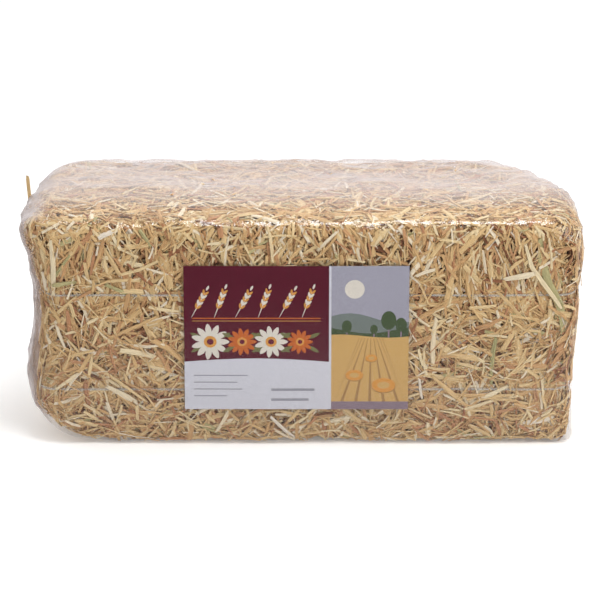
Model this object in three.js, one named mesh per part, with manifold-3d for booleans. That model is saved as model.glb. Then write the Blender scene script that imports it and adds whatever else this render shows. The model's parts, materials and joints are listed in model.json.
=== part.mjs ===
// A decorative bale of chopped straw, held by two clear bands and wrapped, with its label, in
// clear shrink film. Millimetres, +Z up; the labelled face looks towards -Y and the length
// runs along X. The origin is on the floor under the middle of the wrapped bale.
import * as THREE from 'three';
import Module from 'manifold-3d';

// The straw, as the size printed on the label gives it: 20 x 8 x 9 inches.
const BALE_LENGTH = 508;
const BALE_DEPTH = 203;
const BALE_HEIGHT = 228;

// The pressed block, and the loose stalks that lie on it.
const LOOSE_LAYER = 2.5;
const LUMP_HEIGHT = 1.5;
const EDGE_RADIUS = 17;
const FLOOR_EDGE_RADIUS = 6;
const FAR_CORNER_CRUSH = 60;
const BOTTOM_CROWN = 1.2;
const GAP = 0.35;
const STALK_THICKNESS = 0.9;

// The film keeps this far off the straw, and is puffed out with air at the two ends.
const FILM_THICKNESS = 0.3;
const FILM_STANDOFF = 5.4;
const FILM_EDGE_RADIUS = 20;
const FILM_FLOOR_EDGE_RADIUS = 4.5;
const BACK_RIDGE = 3.5;
const BACK_EDGE_SHARPENING = 8;
const LEFT_SLACK = 26;
const RIGHT_SLACK = 15;

// The paper label, 8.5 x 5.75 inches, between the straw and the film.
const LABEL_WIDTH = 216;
const LABEL_HEIGHT = 146;
const LABEL_THICKNESS = 0.3;
const LABEL_CENTRE_X = -6;
const LABEL_BOTTOM_Z = 37;
const LABEL_BOW = 0.5;

// The two bands run level round the bale.
const BAND_WIDTH = 2.4;
const BAND_THICKNESS = 0.8;
const BAND_HEIGHTS = { upper: 152, lower: 56 };

// A stalk or band lies in straight steps, short where the straw's surface turns.
const FINE_STEP = 2;
const LONGEST_STEP = 24;
const MOST_TURN = THREE.MathUtils.degToRad(15);

// Each form is meshed by rays from a smaller box inside it, which ends further from the crushed
// end. The rays fan out over the round edges at these angles, in degrees from square.
const CORE_INSET = 40;
const CRUSHED_END_INSET = 80;
const EDGE_ANGLES = [45, 36, 26];

const COLOURS = {
  block: '#b48c62',
  straw: '#d8b88c',
  pale: '#e6d8bf',
  tan: '#c39a6b',
  green: '#a9a763',
  band: '#dfe3e4',
  label: '#7a2434',
  film: '#e9e6e4',
};

const HALF_DEPTH = BALE_DEPTH / 2 - LOOSE_LAYER;
const BLOCK_TOP = BALE_HEIGHT - LOOSE_LAYER;
const BLOCK_BOTTOM = FILM_THICKNESS + 2 * GAP;
const END_LEFT = -BALE_LENGTH / 2 + LOOSE_LAYER + (LEFT_SLACK - RIGHT_SLACK) / 2;
const END_RIGHT = END_LEFT + BALE_LENGTH - 2 * LOOSE_LAYER;

// A smooth line through a few (place, value) points, held level past its ends.
function profile(points) {
  const curve = new THREE.CatmullRomCurve3(
    points.map(([place, value]) => new THREE.Vector3(place, value, 0)), false, 'centripetal');
  const samples = curve.getPoints(points.length * 12);
  return (place) => {
    const after = samples.findIndex((sample) => sample.x >= place);
    if (after === 0) return samples[0].y;
    if (after === -1) return samples[samples.length - 1].y;
    const share = (place - samples[after - 1].x) / (samples[after].x - samples[after - 1].x);
    return THREE.MathUtils.lerp(samples[after - 1].y, samples[after].y, share);
  };
}

// The gentle lumps of a wall, from -1 to 1, over two directions along it.
function lumps(u, v, phase) {
  const broad = Math.sin(u / 31 + phase) * Math.cos(v / 27 - phase);
  const fine = Math.sin(u / 17 - v / 23 + 2 * phase);
  return 0.6 * broad + 0.4 * fine;
}

// How far the left end leans in towards its two upright edges, along X, at a place along Y.
const leftLean = profile([[-110, 1], [-60, 0], [10, 2], [55, 9], [80, 22], [94, 42], [106, 68]]);

// How far the far right corner of the bale is crushed in, along X, at a place along Y.
function farCornerCrush(y) {
  const share = THREE.MathUtils.clamp((y + 20) / (HALF_DEPTH + 20), 0, 1);
  return FAR_CORNER_CRUSH * share * share;
}

// A soft-edged box. Each wall's place is a function of the point beside it, so that a wall may
// lean, wave and bulge, and the edges between the walls are round.
class SoftBox {
  constructor(walls, radius) {
    this.walls = walls;
    this.radius = radius;
    const origin = new THREE.Vector3(0, 0, BALE_HEIGHT / 2);
    this.outer = new THREE.Box3(
      new THREE.Vector3(walls.left(origin), walls.front(origin), walls.bottom(origin)),
      new THREE.Vector3(walls.right(origin), walls.back(origin), walls.top(origin)));
    this.core = this.outer.clone().expandByScalar(-CORE_INSET);
    this.core.max.x = this.outer.max.x - CRUSHED_END_INSET;
  }

  // Below zero inside the form, zero on its surface.
  depth(p) {
    const r = this.radius(p);
    const a = Math.max(this.walls.left(p) - p.x, p.x - this.walls.right(p));
    const b = Math.max(this.walls.front(p) - p.y, p.y - this.walls.back(p));
    const c = Math.max(this.walls.bottom(p) - p.z, p.z - this.walls.top(p));
    const rim = Math.hypot(Math.max(a + r, 0), Math.max(b + r, 0), Math.max(c + r, 0));
    return Math.min(-r, Math.max(a, b, c)) + rim;
  }

  // The point of the surface straight out from the core through p, and that direction.
  surface(p) {
    const foot = this.core.clampPoint(p, new THREE.Vector3());
    const ray = p.clone().sub(foot).normalize();
    let near = 0;
    let far = 2 * CRUSHED_END_INSET;
    for (let step = 0; step < 40; step += 1) {
      const middle = (near + far) / 2;
      if (this.depth(foot.clone().addScaledVector(ray, middle)) < 0) near = middle;
      else far = middle;
    }
    return { point: foot.addScaledVector(ray, near), ray };
  }

  normal(p) {
    const step = 0.5;
    const slope = (x, y, z) => {
      const offset = new THREE.Vector3(x, y, z).multiplyScalar(step);
      return this.depth(p.clone().add(offset)) - this.depth(p.clone().sub(offset));
    };
    return new THREE.Vector3(slope(1, 0, 0), slope(0, 1, 0), slope(0, 0, 1)).normalize();
  }

  // Places of the grid lines along one axis: close together round the edges, wide between.
  gridLines(axis, flatSteps) {
    const [low, high] = [this.outer.min[axis], this.outer.max[axis]];
    const [first, last] = [this.core.min[axis], this.core.max[axis]];
    const shares = EDGE_ANGLES.map((angle) => Math.tan(THREE.MathUtils.degToRad(angle)));
    const lines = shares.map((share) => THREE.MathUtils.lerp(first, low, share));
    for (let step = 0; step <= flatSteps; step += 1) {
      lines.push(THREE.MathUtils.lerp(first, last, step / flatSteps));
    }
    return lines.concat(shares.map((share) => THREE.MathUtils.lerp(last, high, share)).reverse());
  }

  // The closed surface, pulled in by sink along each ray, as a grid over the six walls.
  geometry(flatSteps, sink = 0) {
    const lines = ['x', 'y', 'z'].map((axis) => this.gridLines(axis, flatSteps[axis]));
    const last = lines.map((places) => places.length - 1);
    const known = new Map();
    const positions = [];
    const vertex = (...cell) => {
      const key = cell.join(' ');
      if (!known.has(key)) {
        const place = new THREE.Vector3(...cell.map((step, axis) => lines[axis][step]));
        const { point, ray } = this.surface(place);
        point.addScaledVector(ray, -sink);
        known.set(key, known.size);
        positions.push(point.x, point.y, point.z);
      }
      return known.get(key);
    };
    const faces = [];
    for (let axis = 0; axis < 3; axis += 1) {
      const [u, v] = [(axis + 1) % 3, (axis + 2) % 3];
      for (const side of [0, last[axis]]) {
        for (let i = 0; i < last[u]; i += 1) {
          for (let j = 0; j < last[v]; j += 1) {
            const corner = (du, dv) => {
              const cell = [0, 0, 0];
              cell[axis] = side;
              cell[u] = i + du;
              cell[v] = j + dv;
              return vertex(...cell);
            };
            const quad = [corner(0, 0), corner(1, 0), corner(1, 1), corner(0, 1)];
            if (side === 0) quad.reverse();
            faces.push(quad[0], quad[1], quad[2], quad[0], quad[2], quad[3]);
          }
        }
      }
    }
    return indexedGeometry(positions, faces);
  }
}

function indexedGeometry(positions, faces) {
  const geometry = new THREE.BufferGeometry();
  geometry.setAttribute('position', new THREE.Float32BufferAttribute(positions, 3));
  geometry.setIndex(faces);
  geometry.computeVertexNormals();
  return geometry;
}

function named(name, geometry, colour, finish = {}) {
  const look = { color: colour, roughness: 0.8, metalness: 0, flatShading: true, ...finish };
  const mesh = new THREE.Mesh(geometry, new THREE.MeshStandardMaterial(look));
  mesh.name = name;
  return mesh;
}

// The pressed straw: lumpy walls, the low left corner worn round, the far right one crushed.
const blockForm = new SoftBox({
  left: (() => {
    const end = profile([
      [0, 50], [6, 35], [14, 18], [20, 9], [28, 0], [38, -9], [60, -9], [85, -6], [120, -3],
      [142, -3], [165, -5], [190, -12], [205, -18], [225, -19]]);
    return (p) => END_LEFT + end(p.z) + LUMP_HEIGHT * lumps(p.y, p.z, 1.3) + leftLean(p.y);
  })(),
  right: (() => {
    const end = profile([[0, -4], [45, -2], [90, 0], [142, 4], [190, 7], [225, 4]]);
    return (p) => END_RIGHT + end(p.z) + LUMP_HEIGHT * lumps(p.y, p.z, 4.1) - farCornerCrush(p.y);
  })(),
  front: (p) => -HALF_DEPTH + LUMP_HEIGHT * lumps(p.x, p.z, 0.4),
  back: (p) => HALF_DEPTH + LUMP_HEIGHT * lumps(p.x, p.z, 2.2),
  top: (p) => {
    const ridge = BACK_RIDGE * towardsBack(p);
    return BLOCK_TOP - LUMP_HEIGHT + ridge + LUMP_HEIGHT * lumps(p.x, p.y, 3.0);
  },
  bottom: (p) => {
    const towardsEnd = THREE.MathUtils.smoothstep(Math.abs(p.x), 140, 230);
    const towardsSide = THREE.MathUtils.smoothstep(Math.abs(p.y), 35, 90);
    return BLOCK_BOTTOM + BOTTOM_CROWN * Math.max(towardsEnd, towardsSide);
  },
}, (p) => edgeRadius(p, EDGE_RADIUS, FLOOR_EDGE_RADIUS));

// From 0 over the front half of the top to 1 at its far edge, which stands up in a ridge.
function towardsBack(p) {
  return THREE.MathUtils.smoothstep(p.y, 30, 95);
}

// Edges are rounded by base, by less at the far side, and by less still at the floor, where the
// bale's weight squares them.
function edgeRadius(p, base, floor) {
  const upper = base - BACK_EDGE_SHARPENING * towardsBack(p);
  return THREE.MathUtils.lerp(floor, upper, THREE.MathUtils.smoothstep(p.z, 10, 70));
}

// The film: tight over the four long walls, full of air and pulled to a ridge at the ends.
const filmForm = new SoftBox({
  left: (() => {
    const end = profile([
      [0, 50], [6, 36], [15, 23], [25, 13], [44, -2], [60, -10], [79, -5], [100, 0], [140, 5.5],
      [161, 4.5], [181, 0.5], [201, -6], [218, -10], [232, -6]]);
    const wall = END_LEFT - LOOSE_LAYER - LEFT_SLACK + 7;
    return (p) => wall + end(p.z) + leftLean(p.y);
  })(),
  right: (() => {
    const end = profile([[0, -9], [40, -9], [75, -9], [100, -6], [142, -3], [188, 0], [222, -5]]);
    const wall = END_RIGHT + LOOSE_LAYER + RIGHT_SLACK;
    return (p) => wall + end(p.z) - farCornerCrush(p.y);
  })(),
  front: () => -HALF_DEPTH - LUMP_HEIGHT - FILM_STANDOFF,
  back: () => HALF_DEPTH + LUMP_HEIGHT + FILM_STANDOFF,
  top: (p) => {
    const ridge = BACK_RIDGE * towardsBack(p);
    return BLOCK_TOP + FILM_STANDOFF + ridge + 0.9 * Math.sin(p.x / 38) * Math.sin(p.y / 60 + 1);
  },
  bottom: () => 0,
}, (p) => edgeRadius(p, FILM_EDGE_RADIUS, FILM_FLOOR_EDGE_RADIUS));

// What lies on the block so far. A new piece rests on whatever is highest beneath it.
class Pile {
  constructor(block) {
    this.meshes = [block];
    this.ray = new THREE.Raycaster();
  }

  // How far the pile stands out past a point of the form, along its normal.
  rise(point, normal) {
    const reach = 20;
    this.ray.set(point.clone().addScaledVector(normal, reach), normal.clone().negate());
    const [hit] = this.ray.intersectObjects(this.meshes, false);
    return hit ? Math.max(reach - hit.distance, -3) : -3;
  }

  add(mesh) {
    this.meshes.push(mesh);
  }
}

// The places every few millimetres along a route laid on the form, each with the outward normal
// and the side. A closed route ends where it began.
function placesAlong(curve, closed) {
  const count = Math.ceil(curve.getLength() / FINE_STEP);
  const places = [];
  for (let step = 0; step <= count; step += 1) {
    const share = step / count;
    const { point } = blockForm.surface(curve.getPointAt(closed ? share % 1 : share));
    places.push({ share, point, normal: blockForm.normal(point) });
  }
  places.forEach((place, index) => {
    const before = places[Math.max(index - 1, closed ? -1 : 0)] ?? places[places.length - 2];
    const after = places[index + 1] ?? (closed ? places[1] : place);
    const ahead = after.point.clone().sub(before.point).normalize();
    place.side = ahead.cross(place.normal).normalize();
  });
  return places;
}

// The numbers of the places where a strip bends: where the form turns, or a long step ends.
function bendsAmong(places) {
  const bends = [0];
  for (let index = 1; index < places.length - 1; index += 1) {
    const last = places[bends[bends.length - 1]];
    const turned = last.normal.angleTo(places[index + 1].normal) > MOST_TURN;
    const long = last.point.distanceTo(places[index + 1].point) > LONGEST_STEP;
    if (turned || long) bends.push(index);
  }
  bends.push(places.length - 1);
  return bends;
}

// The height of a strip over the form at each bend, such that it clears the pile in between.
function restingHeights(pile, places, bends, width) {
  const needed = bends.map(() => 0);
  for (let span = 0; span + 1 < bends.length; span += 1) {
    const [start, end] = [bends[span], bends[span + 1]];
    for (let index = start; index <= end; index += 1) {
      const { point, normal, side } = places[index];
      const beside = [-0.55, -0.3, 0, 0.3, 0.55].map((offset) => {
        return pile.rise(point.clone().addScaledVector(side, offset * width), normal);
      });
      const share = (index - start) / (end - start);
      const chord = places[start].point.clone().lerp(places[end].point, share);
      const sag = point.clone().sub(chord).dot(normal);
      const height = Math.max(...beside) + sag + GAP;
      needed[span] = Math.max(needed[span], height);
      needed[span + 1] = Math.max(needed[span + 1], height);
    }
  }
  return needed;
}

// A flat strip along its stations, narrower on its outer face, with a width for each station.
function stripGeometry(stations, heights, widths, thickness, closed = false) {
  const positions = [];
  stations.forEach(({ point, normal, side }, index) => {
    const foot = point.clone().addScaledVector(normal, heights[index]);
    const crown = foot.clone().addScaledVector(normal, thickness);
    const half = widths[index] / 2;
    const corners = [
      foot.clone().addScaledVector(side, -half),
      foot.clone().addScaledVector(side, half),
      crown.clone().addScaledVector(side, 0.7 * half),
      crown.clone().addScaledVector(side, -0.7 * half),
    ];
    corners.forEach((corner) => positions.push(...corner.toArray()));
  });
  const faces = [];
  const rings = stations.length;
  for (let ring = 0; ring < (closed ? rings : rings - 1); ring += 1) {
    const here = ring * 4;
    const next = ((ring + 1) % rings) * 4;
    for (let edge = 0; edge < 4; edge += 1) {
      const other = (edge + 1) % 4;
      faces.push(here + edge, next + other, here + other);
      faces.push(here + edge, next + edge, next + other);
    }
  }
  if (!closed) {
    const end = (rings - 1) * 4;
    faces.push(0, 1, 2, 0, 2, 3);
    faces.push(end, end + 2, end + 1, end, end + 3, end + 2);
  }
  return indexedGeometry(positions, faces);
}

// One stalk or blade through a few points near the straw, laid on top of the pile.
function layStalk(pile, name, { route, width, colour, tip = 0.6 }) {
  const places = placesAlong(new THREE.CatmullRomCurve3(route, false, 'centripetal'), false);
  const bends = bendsAmong(places);
  const stations = bends.map((bend) => places[bend]);
  const heights = restingHeights(pile, places, bends, width);
  const widths = stations.map(({ share }) => {
    const towardsEnd = Math.abs(2 * share - 1) ** 4;
    return width * THREE.MathUtils.lerp(1, tip, towardsEnd);
  });
  const geometry = stripGeometry(stations, heights, widths, STALK_THICKNESS);
  const mesh = named(name, geometry, colour);
  pile.add(mesh);
  return mesh;
}

// A band runs level round the bale. These are the places along each wall that its route takes.
const BAND_CONTROLS = [0, 0.04, 0.12, 0.5, 0.88, 0.96];

function layBand(pile, name, height) {
  const { min, max } = blockForm.outer;
  const corners = [[min.x, min.y], [max.x, min.y], [max.x, max.y], [min.x, max.y]];
  const route = [];
  corners.forEach(([x, y], index) => {
    const [nextX, nextY] = corners[(index + 1) % corners.length];
    for (const share of BAND_CONTROLS) {
      route.push(new THREE.Vector3(
        THREE.MathUtils.lerp(x, nextX, share), THREE.MathUtils.lerp(y, nextY, share), height));
    }
  });
  const places = placesAlong(new THREE.CatmullRomCurve3(route, true, 'centripetal'), true);
  const bends = bendsAmong(places);
  const heights = restingHeights(pile, places, bends, BAND_WIDTH);
  heights[0] = Math.max(heights[0], heights.pop());
  bends.pop();
  const stations = bends.map((bend) => places[bend]);
  const widths = stations.map(() => BAND_WIDTH);
  const geometry = stripGeometry(stations, heights, widths, BAND_THICKNESS, true);
  const mesh = named(name, geometry, COLOURS.band, { roughness: 0.2 });
  pile.add(mesh);
  return mesh;
}

// Points on the front wall, given as (x, z), and on the top, given as (x, y).
const onFront = (...points) => points.map(([x, z]) => {
  return new THREE.Vector3(x, blockForm.outer.min.y, z);
});
const onTop = (...points) => points.map(([x, y]) => {
  return new THREE.Vector3(x, y, blockForm.outer.max.z);
});

// The stalks and blades that stand out on the front and over its top edge.
const FRONT_STALKS = [
  { route: onFront([-238, 199], [-212, 213]), width: 6, colour: COLOURS.green },
  { route: onFront([-240, 209], [-206, 216]), width: 4, colour: COLOURS.straw },
  { route: onFront([-240, 208], [-237, 180], [-239, 152]), width: 5, colour: COLOURS.pale },
  { route: onFront([-238, 163], [-216, 166]), width: 5, colour: COLOURS.green },
  { route: onFront([-189, 163], [-169, 154]), width: 6, colour: COLOURS.green },
  { route: onFront([-210, 172], [-192, 156]), width: 4, colour: COLOURS.pale },
  { route: onFront([-238, 132], [-217, 151]), width: 4, colour: COLOURS.straw },
  { route: onFront([-160, 148], [-150, 117], [-136, 84]), width: 4, colour: COLOURS.straw },
  { route: onFront([-228, 108], [-210, 88], [-184, 69], [-150, 42]), width: 3, colour: COLOURS.tan },
  { route: onFront([-190, 60], [-160, 42]), width: 6, colour: COLOURS.pale },
  { route: onFront([-239, 56], [-214, 74]), width: 4.5, colour: COLOURS.pale },
  { route: onFront([-176, 66], [-157, 83]), width: 5, colour: COLOURS.straw },
  { route: onFront([-132, 194], [-126, 158]), width: 8, colour: COLOURS.straw },
  { route: onFront([-9, 212], [-20, 194], [-34, 180]), width: 3.5, colour: COLOURS.straw },
  { route: onFront([30, 219], [47, 184]), width: 3, colour: COLOURS.tan },
  { route: onFront([148, 188], [140, 159], [136, 138]), width: 5.5, colour: COLOURS.straw },
  { route: onFront([156, 176], [160, 150]), width: 4, colour: COLOURS.straw },
  { route: onFront([226, 209], [232, 175], [247, 143], [253, 112]), width: 8, colour: COLOURS.green },
  { route: onFront([212, 203], [222, 175], [240, 155], [248, 139]), width: 4.5, colour: COLOURS.pale },
  { route: onFront([192, 168], [222, 175]), width: 6.5, colour: COLOURS.pale },
  { route: onFront([148, 106], [180, 112], [218, 121], [240, 132]), width: 3, colour: COLOURS.tan },
  { route: onFront([206, 108], [211, 80]), width: 9, colour: COLOURS.tan },
  { route: onFront([119, 110], [146, 92]), width: 7, colour: COLOURS.straw },
  { route: onFront([125, 70], [160, 38]), width: 5, colour: COLOURS.tan },
  { route: onFront([162, 40], [199, 60]), width: 4.5, colour: COLOURS.pale },
  { route: onFront([208, 18], [246, 26]), width: 7, colour: COLOURS.pale },
  { route: onFront([-97, 14], [-64, 24]), width: 5, colour: COLOURS.straw },
];
const EDGE_STALKS = [
  { route: [...onTop([-150, -60], [-110, -84]), ...onFront([-96, 202])], width: 6, colour: COLOURS.straw },
  { route: [...onTop([-30, -70], [-8, -86]), ...onFront([6, 205])], width: 5, colour: COLOURS.pale },
  { route: [...onTop([90, -40], [150, -66], [196, -90]), ...onFront([218, 208])], width: 5, colour: COLOURS.straw },
  { route: onTop([4, -62], [22, -40]), width: 8, colour: COLOURS.green },
];

// Stalks scattered on the walls that the front view does not show, by a fixed draw.
class FixedDraw {
  constructor(seed) {
    this.state = seed;
  }

  between(low, high) {
    this.state = (this.state * 1664525 + 1013904223) % 4294967296;
    return THREE.MathUtils.lerp(low, high, this.state / 4294967296);
  }
}

const SCATTER = [
  { wall: 'top', count: 7, place: (u, v) => [u * 215, v * 72, blockForm.outer.max.z] },
  { wall: 'back', count: 8, place: (u, v) => [u * 205 - 20, blockForm.outer.max.y, 114 + v * 84] },
  { wall: 'left', count: 4, place: (u, v) => [blockForm.outer.min.x, u * 60, 125 + v * 62] },
  { wall: 'right', count: 4, place: (u, v) => [blockForm.outer.max.x, u * 48 - 28, 112 + v * 76] },
];
const SCATTER_COLOURS = [COLOURS.straw, COLOURS.pale, COLOURS.tan, COLOURS.straw, COLOURS.green];

function scatterStalks(pile, { wall, count, place }, draw) {
  const meshes = [];
  for (let index = 0; index < count; index += 1) {
    const [u, v] = [(2 * index + 1) / count - 1, draw.between(-0.9, 0.9)];
    const centre = new THREE.Vector3(...place(u, v));
    const length = draw.between(34, 78);
    const turn = draw.between(0, Math.PI);
    const { point } = blockForm.surface(centre);
    const normal = blockForm.normal(point);
    const along = new THREE.Vector3(0, 0, 1).cross(normal);
    if (along.length() < 0.5) along.set(1, 0, 0);
    along.normalize().applyAxisAngle(normal, turn);
    const route = [-0.5, 0, 0.5].map((share) => {
      return centre.clone().addScaledVector(along, share * length);
    });
    meshes.push(layStalk(pile, `stalk_${wall}_${index + 1}`, {
      route,
      width: draw.between(3, 7),
      colour: SCATTER_COLOURS[index % SCATTER_COLOURS.length],
    }));
  }
  return meshes;
}

// The label is a thin plate, bowed a little outwards, clear of the stalks beneath it.
function makeLabel() {
  const [columns, rows] = [8, 5];
  const back = blockForm.outer.min.y - LUMP_HEIGHT - FILM_STANDOFF + 1.9;
  const positions = [];
  for (const inward of [0, LABEL_THICKNESS]) {
    for (let row = 0; row <= rows; row += 1) {
      for (let column = 0; column <= columns; column += 1) {
        const across = column / columns - 0.5;
        const bow = LABEL_BOW * Math.cos(Math.PI * across);
        positions.push(
          LABEL_CENTRE_X + across * LABEL_WIDTH,
          back - bow + inward,
          LABEL_BOTTOM_Z + (row / rows) * LABEL_HEIGHT);
      }
    }
  }
  const layer = (columns + 1) * (rows + 1);
  const at = (column, row, side) => side * layer + row * (columns + 1) + column;
  const faces = [];
  const quad = (a, b, c, d) => faces.push(a, b, c, a, c, d);
  for (let row = 0; row < rows; row += 1) {
    for (let column = 0; column < columns; column += 1) {
      const [next, above] = [column + 1, row + 1];
      quad(at(column, row, 0), at(next, row, 0), at(next, above, 0), at(column, above, 0));
      quad(at(column, row, 1), at(column, above, 1), at(next, above, 1), at(next, row, 1));
    }
  }
  for (let column = 0; column < columns; column += 1) {
    const next = column + 1;
    quad(at(column, 0, 0), at(column, 0, 1), at(next, 0, 1), at(next, 0, 0));
    quad(at(column, rows, 0), at(next, rows, 0), at(next, rows, 1), at(column, rows, 1));
  }
  for (let row = 0; row < rows; row += 1) {
    const above = row + 1;
    quad(at(0, row, 0), at(0, above, 0), at(0, above, 1), at(0, row, 1));
    quad(at(columns, row, 0), at(columns, row, 1), at(columns, above, 1), at(columns, above, 0));
  }
  return named('label', indexedGeometry(positions, faces), COLOURS.label, { roughness: 0.4 });
}

// The straw that has pushed out through the film at the top of the left end.
const THROUGH_FROM = new THREE.Vector3(END_LEFT - 21.7, 5, 206);
const THROUGH_TO = new THREE.Vector3(END_LEFT - 24, 3, 240);
const THROUGH_WIDTH = 3.6;

// A straight bar of oblong section between two points, its broad side facing along Y.
function barGeometry(from, to, width, thickness) {
  const length = from.distanceTo(to);
  const geometry = new THREE.BoxGeometry(length, width, thickness);
  const ahead = to.clone().sub(from).normalize();
  const side = new THREE.Vector3(0, 1, 0).cross(ahead).normalize();
  const up = ahead.clone().cross(side);
  const middle = from.clone().add(to).multiplyScalar(0.5);
  const turn = new THREE.Matrix4().makeBasis(ahead, side, up).setPosition(middle);
  return geometry.applyMatrix4(turn);
}

const wasm = await Module();
wasm.setup();

function toManifold(geometry) {
  const welded = mergeByPlace(geometry);
  return new wasm.Manifold(new wasm.Mesh({
    numProp: 3,
    vertProperties: Float32Array.from(welded.positions),
    triVerts: Uint32Array.from(welded.faces),
  }));
}

// Vertices that share a place become one.
function mergeByPlace(geometry) {
  const source = geometry.getAttribute('position');
  const known = new Map();
  const positions = [];
  const weld = [];
  for (let index = 0; index < source.count; index += 1) {
    const place = [source.getX(index), source.getY(index), source.getZ(index)];
    const key = place.map((value) => value.toFixed(4)).join(' ');
    if (!known.has(key)) {
      known.set(key, known.size);
      positions.push(...place);
    }
    weld.push(known.get(key));
  }
  return { positions, faces: Array.from(geometry.getIndex().array, (index) => weld[index]) };
}

function fromManifold(solid) {
  const mesh = solid.getMesh();
  return indexedGeometry(Array.from(mesh.vertProperties), Array.from(mesh.triVerts));
}

// The film is a thin shell with one tear, where the straw pokes out.
function makeFilm() {
  const steps = { x: 11, y: 4, z: 4 };
  const outer = toManifold(filmForm.geometry(steps));
  const inner = toManifold(filmForm.geometry(steps, FILM_THICKNESS));
  const tear = toManifold(barGeometry(
    THROUGH_FROM, THROUGH_TO, THROUGH_WIDTH + 4 * GAP, STALK_THICKNESS + 4 * GAP));
  const shell = outer.subtract(inner).subtract(tear);
  return named('film_wrap', fromManifold(shell), COLOURS.film,
    { roughness: 0.15, transparent: true, opacity: 0.3 });
}

function makeBale() {
  const bale = new THREE.Group();
  const block = named('straw_block', blockForm.geometry({ x: 15, y: 5, z: 5 }), COLOURS.block);
  const pile = new Pile(block);
  bale.add(block);
  for (const [which, height] of Object.entries(BAND_HEIGHTS)) {
    bale.add(layBand(pile, `binding_band_${which}`, height));
  }
  FRONT_STALKS.forEach((stalk, index) => {
    bale.add(layStalk(pile, `stalk_front_${index + 1}`, stalk));
  });
  EDGE_STALKS.forEach((stalk, index) => {
    bale.add(layStalk(pile, `stalk_edge_${index + 1}`, stalk));
  });
  const draw = new FixedDraw(20);
  for (const wall of SCATTER) bale.add(...scatterStalks(pile, wall, draw));
  const through = barGeometry(THROUGH_FROM, THROUGH_TO, THROUGH_WIDTH, STALK_THICKNESS);
  bale.add(named('stalk_through_film', through, COLOURS.straw));
  bale.add(makeLabel(), makeFilm());
  const middle = new THREE.Box3().setFromObject(bale).getCenter(new THREE.Vector3());
  bale.position.set(-middle.x, -middle.y, 0);
  return bale;
}

export default makeBale();
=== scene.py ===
"""A decorative bale of chopped straw, dressed for rendering: some thousands of loose straws on
its pressed core, two clear bands, a printed paper label and a wrap of clear shrink film.
Metres, +Z up; the labelled face looks towards -Y and the length runs along X."""
import json
import logging
import math
from collections.abc import Iterator
from contextlib import contextmanager
from dataclasses import dataclass
from enum import Enum

import bpy
import numpy as np
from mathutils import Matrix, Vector, noise
from mathutils.bvhtree import BVHTree
from mathutils.geometry import delaunay_2d_cdt


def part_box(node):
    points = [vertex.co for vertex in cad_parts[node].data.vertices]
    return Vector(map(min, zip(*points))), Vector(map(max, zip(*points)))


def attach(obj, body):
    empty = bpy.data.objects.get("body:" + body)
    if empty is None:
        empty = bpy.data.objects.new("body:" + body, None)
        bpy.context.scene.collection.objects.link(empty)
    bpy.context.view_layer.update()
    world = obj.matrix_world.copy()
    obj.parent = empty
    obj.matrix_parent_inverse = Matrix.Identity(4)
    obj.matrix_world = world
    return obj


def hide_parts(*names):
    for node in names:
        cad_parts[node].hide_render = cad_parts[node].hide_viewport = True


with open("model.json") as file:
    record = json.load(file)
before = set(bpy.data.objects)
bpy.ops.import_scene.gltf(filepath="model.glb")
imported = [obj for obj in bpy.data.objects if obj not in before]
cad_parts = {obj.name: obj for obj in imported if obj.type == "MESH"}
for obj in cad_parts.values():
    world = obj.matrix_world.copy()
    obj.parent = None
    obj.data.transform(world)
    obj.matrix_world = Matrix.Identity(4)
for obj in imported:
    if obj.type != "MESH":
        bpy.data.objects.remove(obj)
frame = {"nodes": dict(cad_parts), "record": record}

LOG = logging.getLogger("straw_bale")
MM = 0.001
ROOT = "root"
BLOCK = "straw_block"
LABEL = "label"
FILM = "film_wrap"
BANDS = ("binding_band_upper", "binding_band_lower")
POKING_STALK = "stalk_through_film"
TONE = "tone"
FIBRE_MAP = "fibre"
SAME_CORNER = 0.02 * MM

Points = np.ndarray


def to_linear(hex_colour: str) -> tuple[float, float, float, float]:
    """Turns an sRGB hex colour into the linear colour that a socket takes.

    Args:
        hex_colour: The colour as #rrggbb.

    Returns:
        Red, green, blue and an alpha of 1.
    """
    channels = [int(hex_colour[start:start + 2], 16) / 255 for start in (1, 3, 5)]
    linear = [c / 12.92 if c <= 0.04045 else ((c + 0.055) / 1.055) ** 2.4 for c in channels]
    return (linear[0], linear[1], linear[2], 1.0)


def smoothstep(values: Points, low: float, high: float) -> Points:
    """Returns, for each value, a curve that rises smoothly from 0 at low to 1 at high."""
    share = np.clip((values - low) / (high - low), 0.0, 1.0)
    return share * share * (3 - 2 * share)


def unit(vectors: Points) -> Points:
    """Returns the vectors, each made one long."""
    return vectors / np.maximum(np.linalg.norm(vectors, axis=-1, keepdims=True), 1e-12)


def field(points: Points, grain: float, offset: float) -> Points:
    """Returns a smooth noise, about -1 to 1, with lumps of the grain's size, at each point."""
    shifted = (points / grain + offset).tolist()
    return np.array([noise.noise(place) for place in shifted])


def add_node(tree: bpy.types.NodeTree, kind: str, settings: dict | None = None,
             inputs: dict | None = None) -> bpy.types.Node:
    """Adds a node with its settings, its input values and its links.

    Args:
        tree: The node tree that it joins.
        kind: The node's type, as in its type name after ShaderNode.
        settings: Its properties by name.
        inputs: For each input's name or number a value, or what to link from: a socket, or a
            node for its first output in use.

    Returns:
        The new node.
    """
    node = tree.nodes.new(f"ShaderNode{kind}")
    for name, value in (settings or {}).items():
        setattr(node, name, value)
    for name, value in (inputs or {}).items():
        if isinstance(value, bpy.types.Node):
            value = next(output for output in value.outputs if output.enabled)
        if isinstance(value, bpy.types.NodeSocket):
            tree.links.new(value, node.inputs[name])
        else:
            node.inputs[name].default_value = value
    return node


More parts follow.
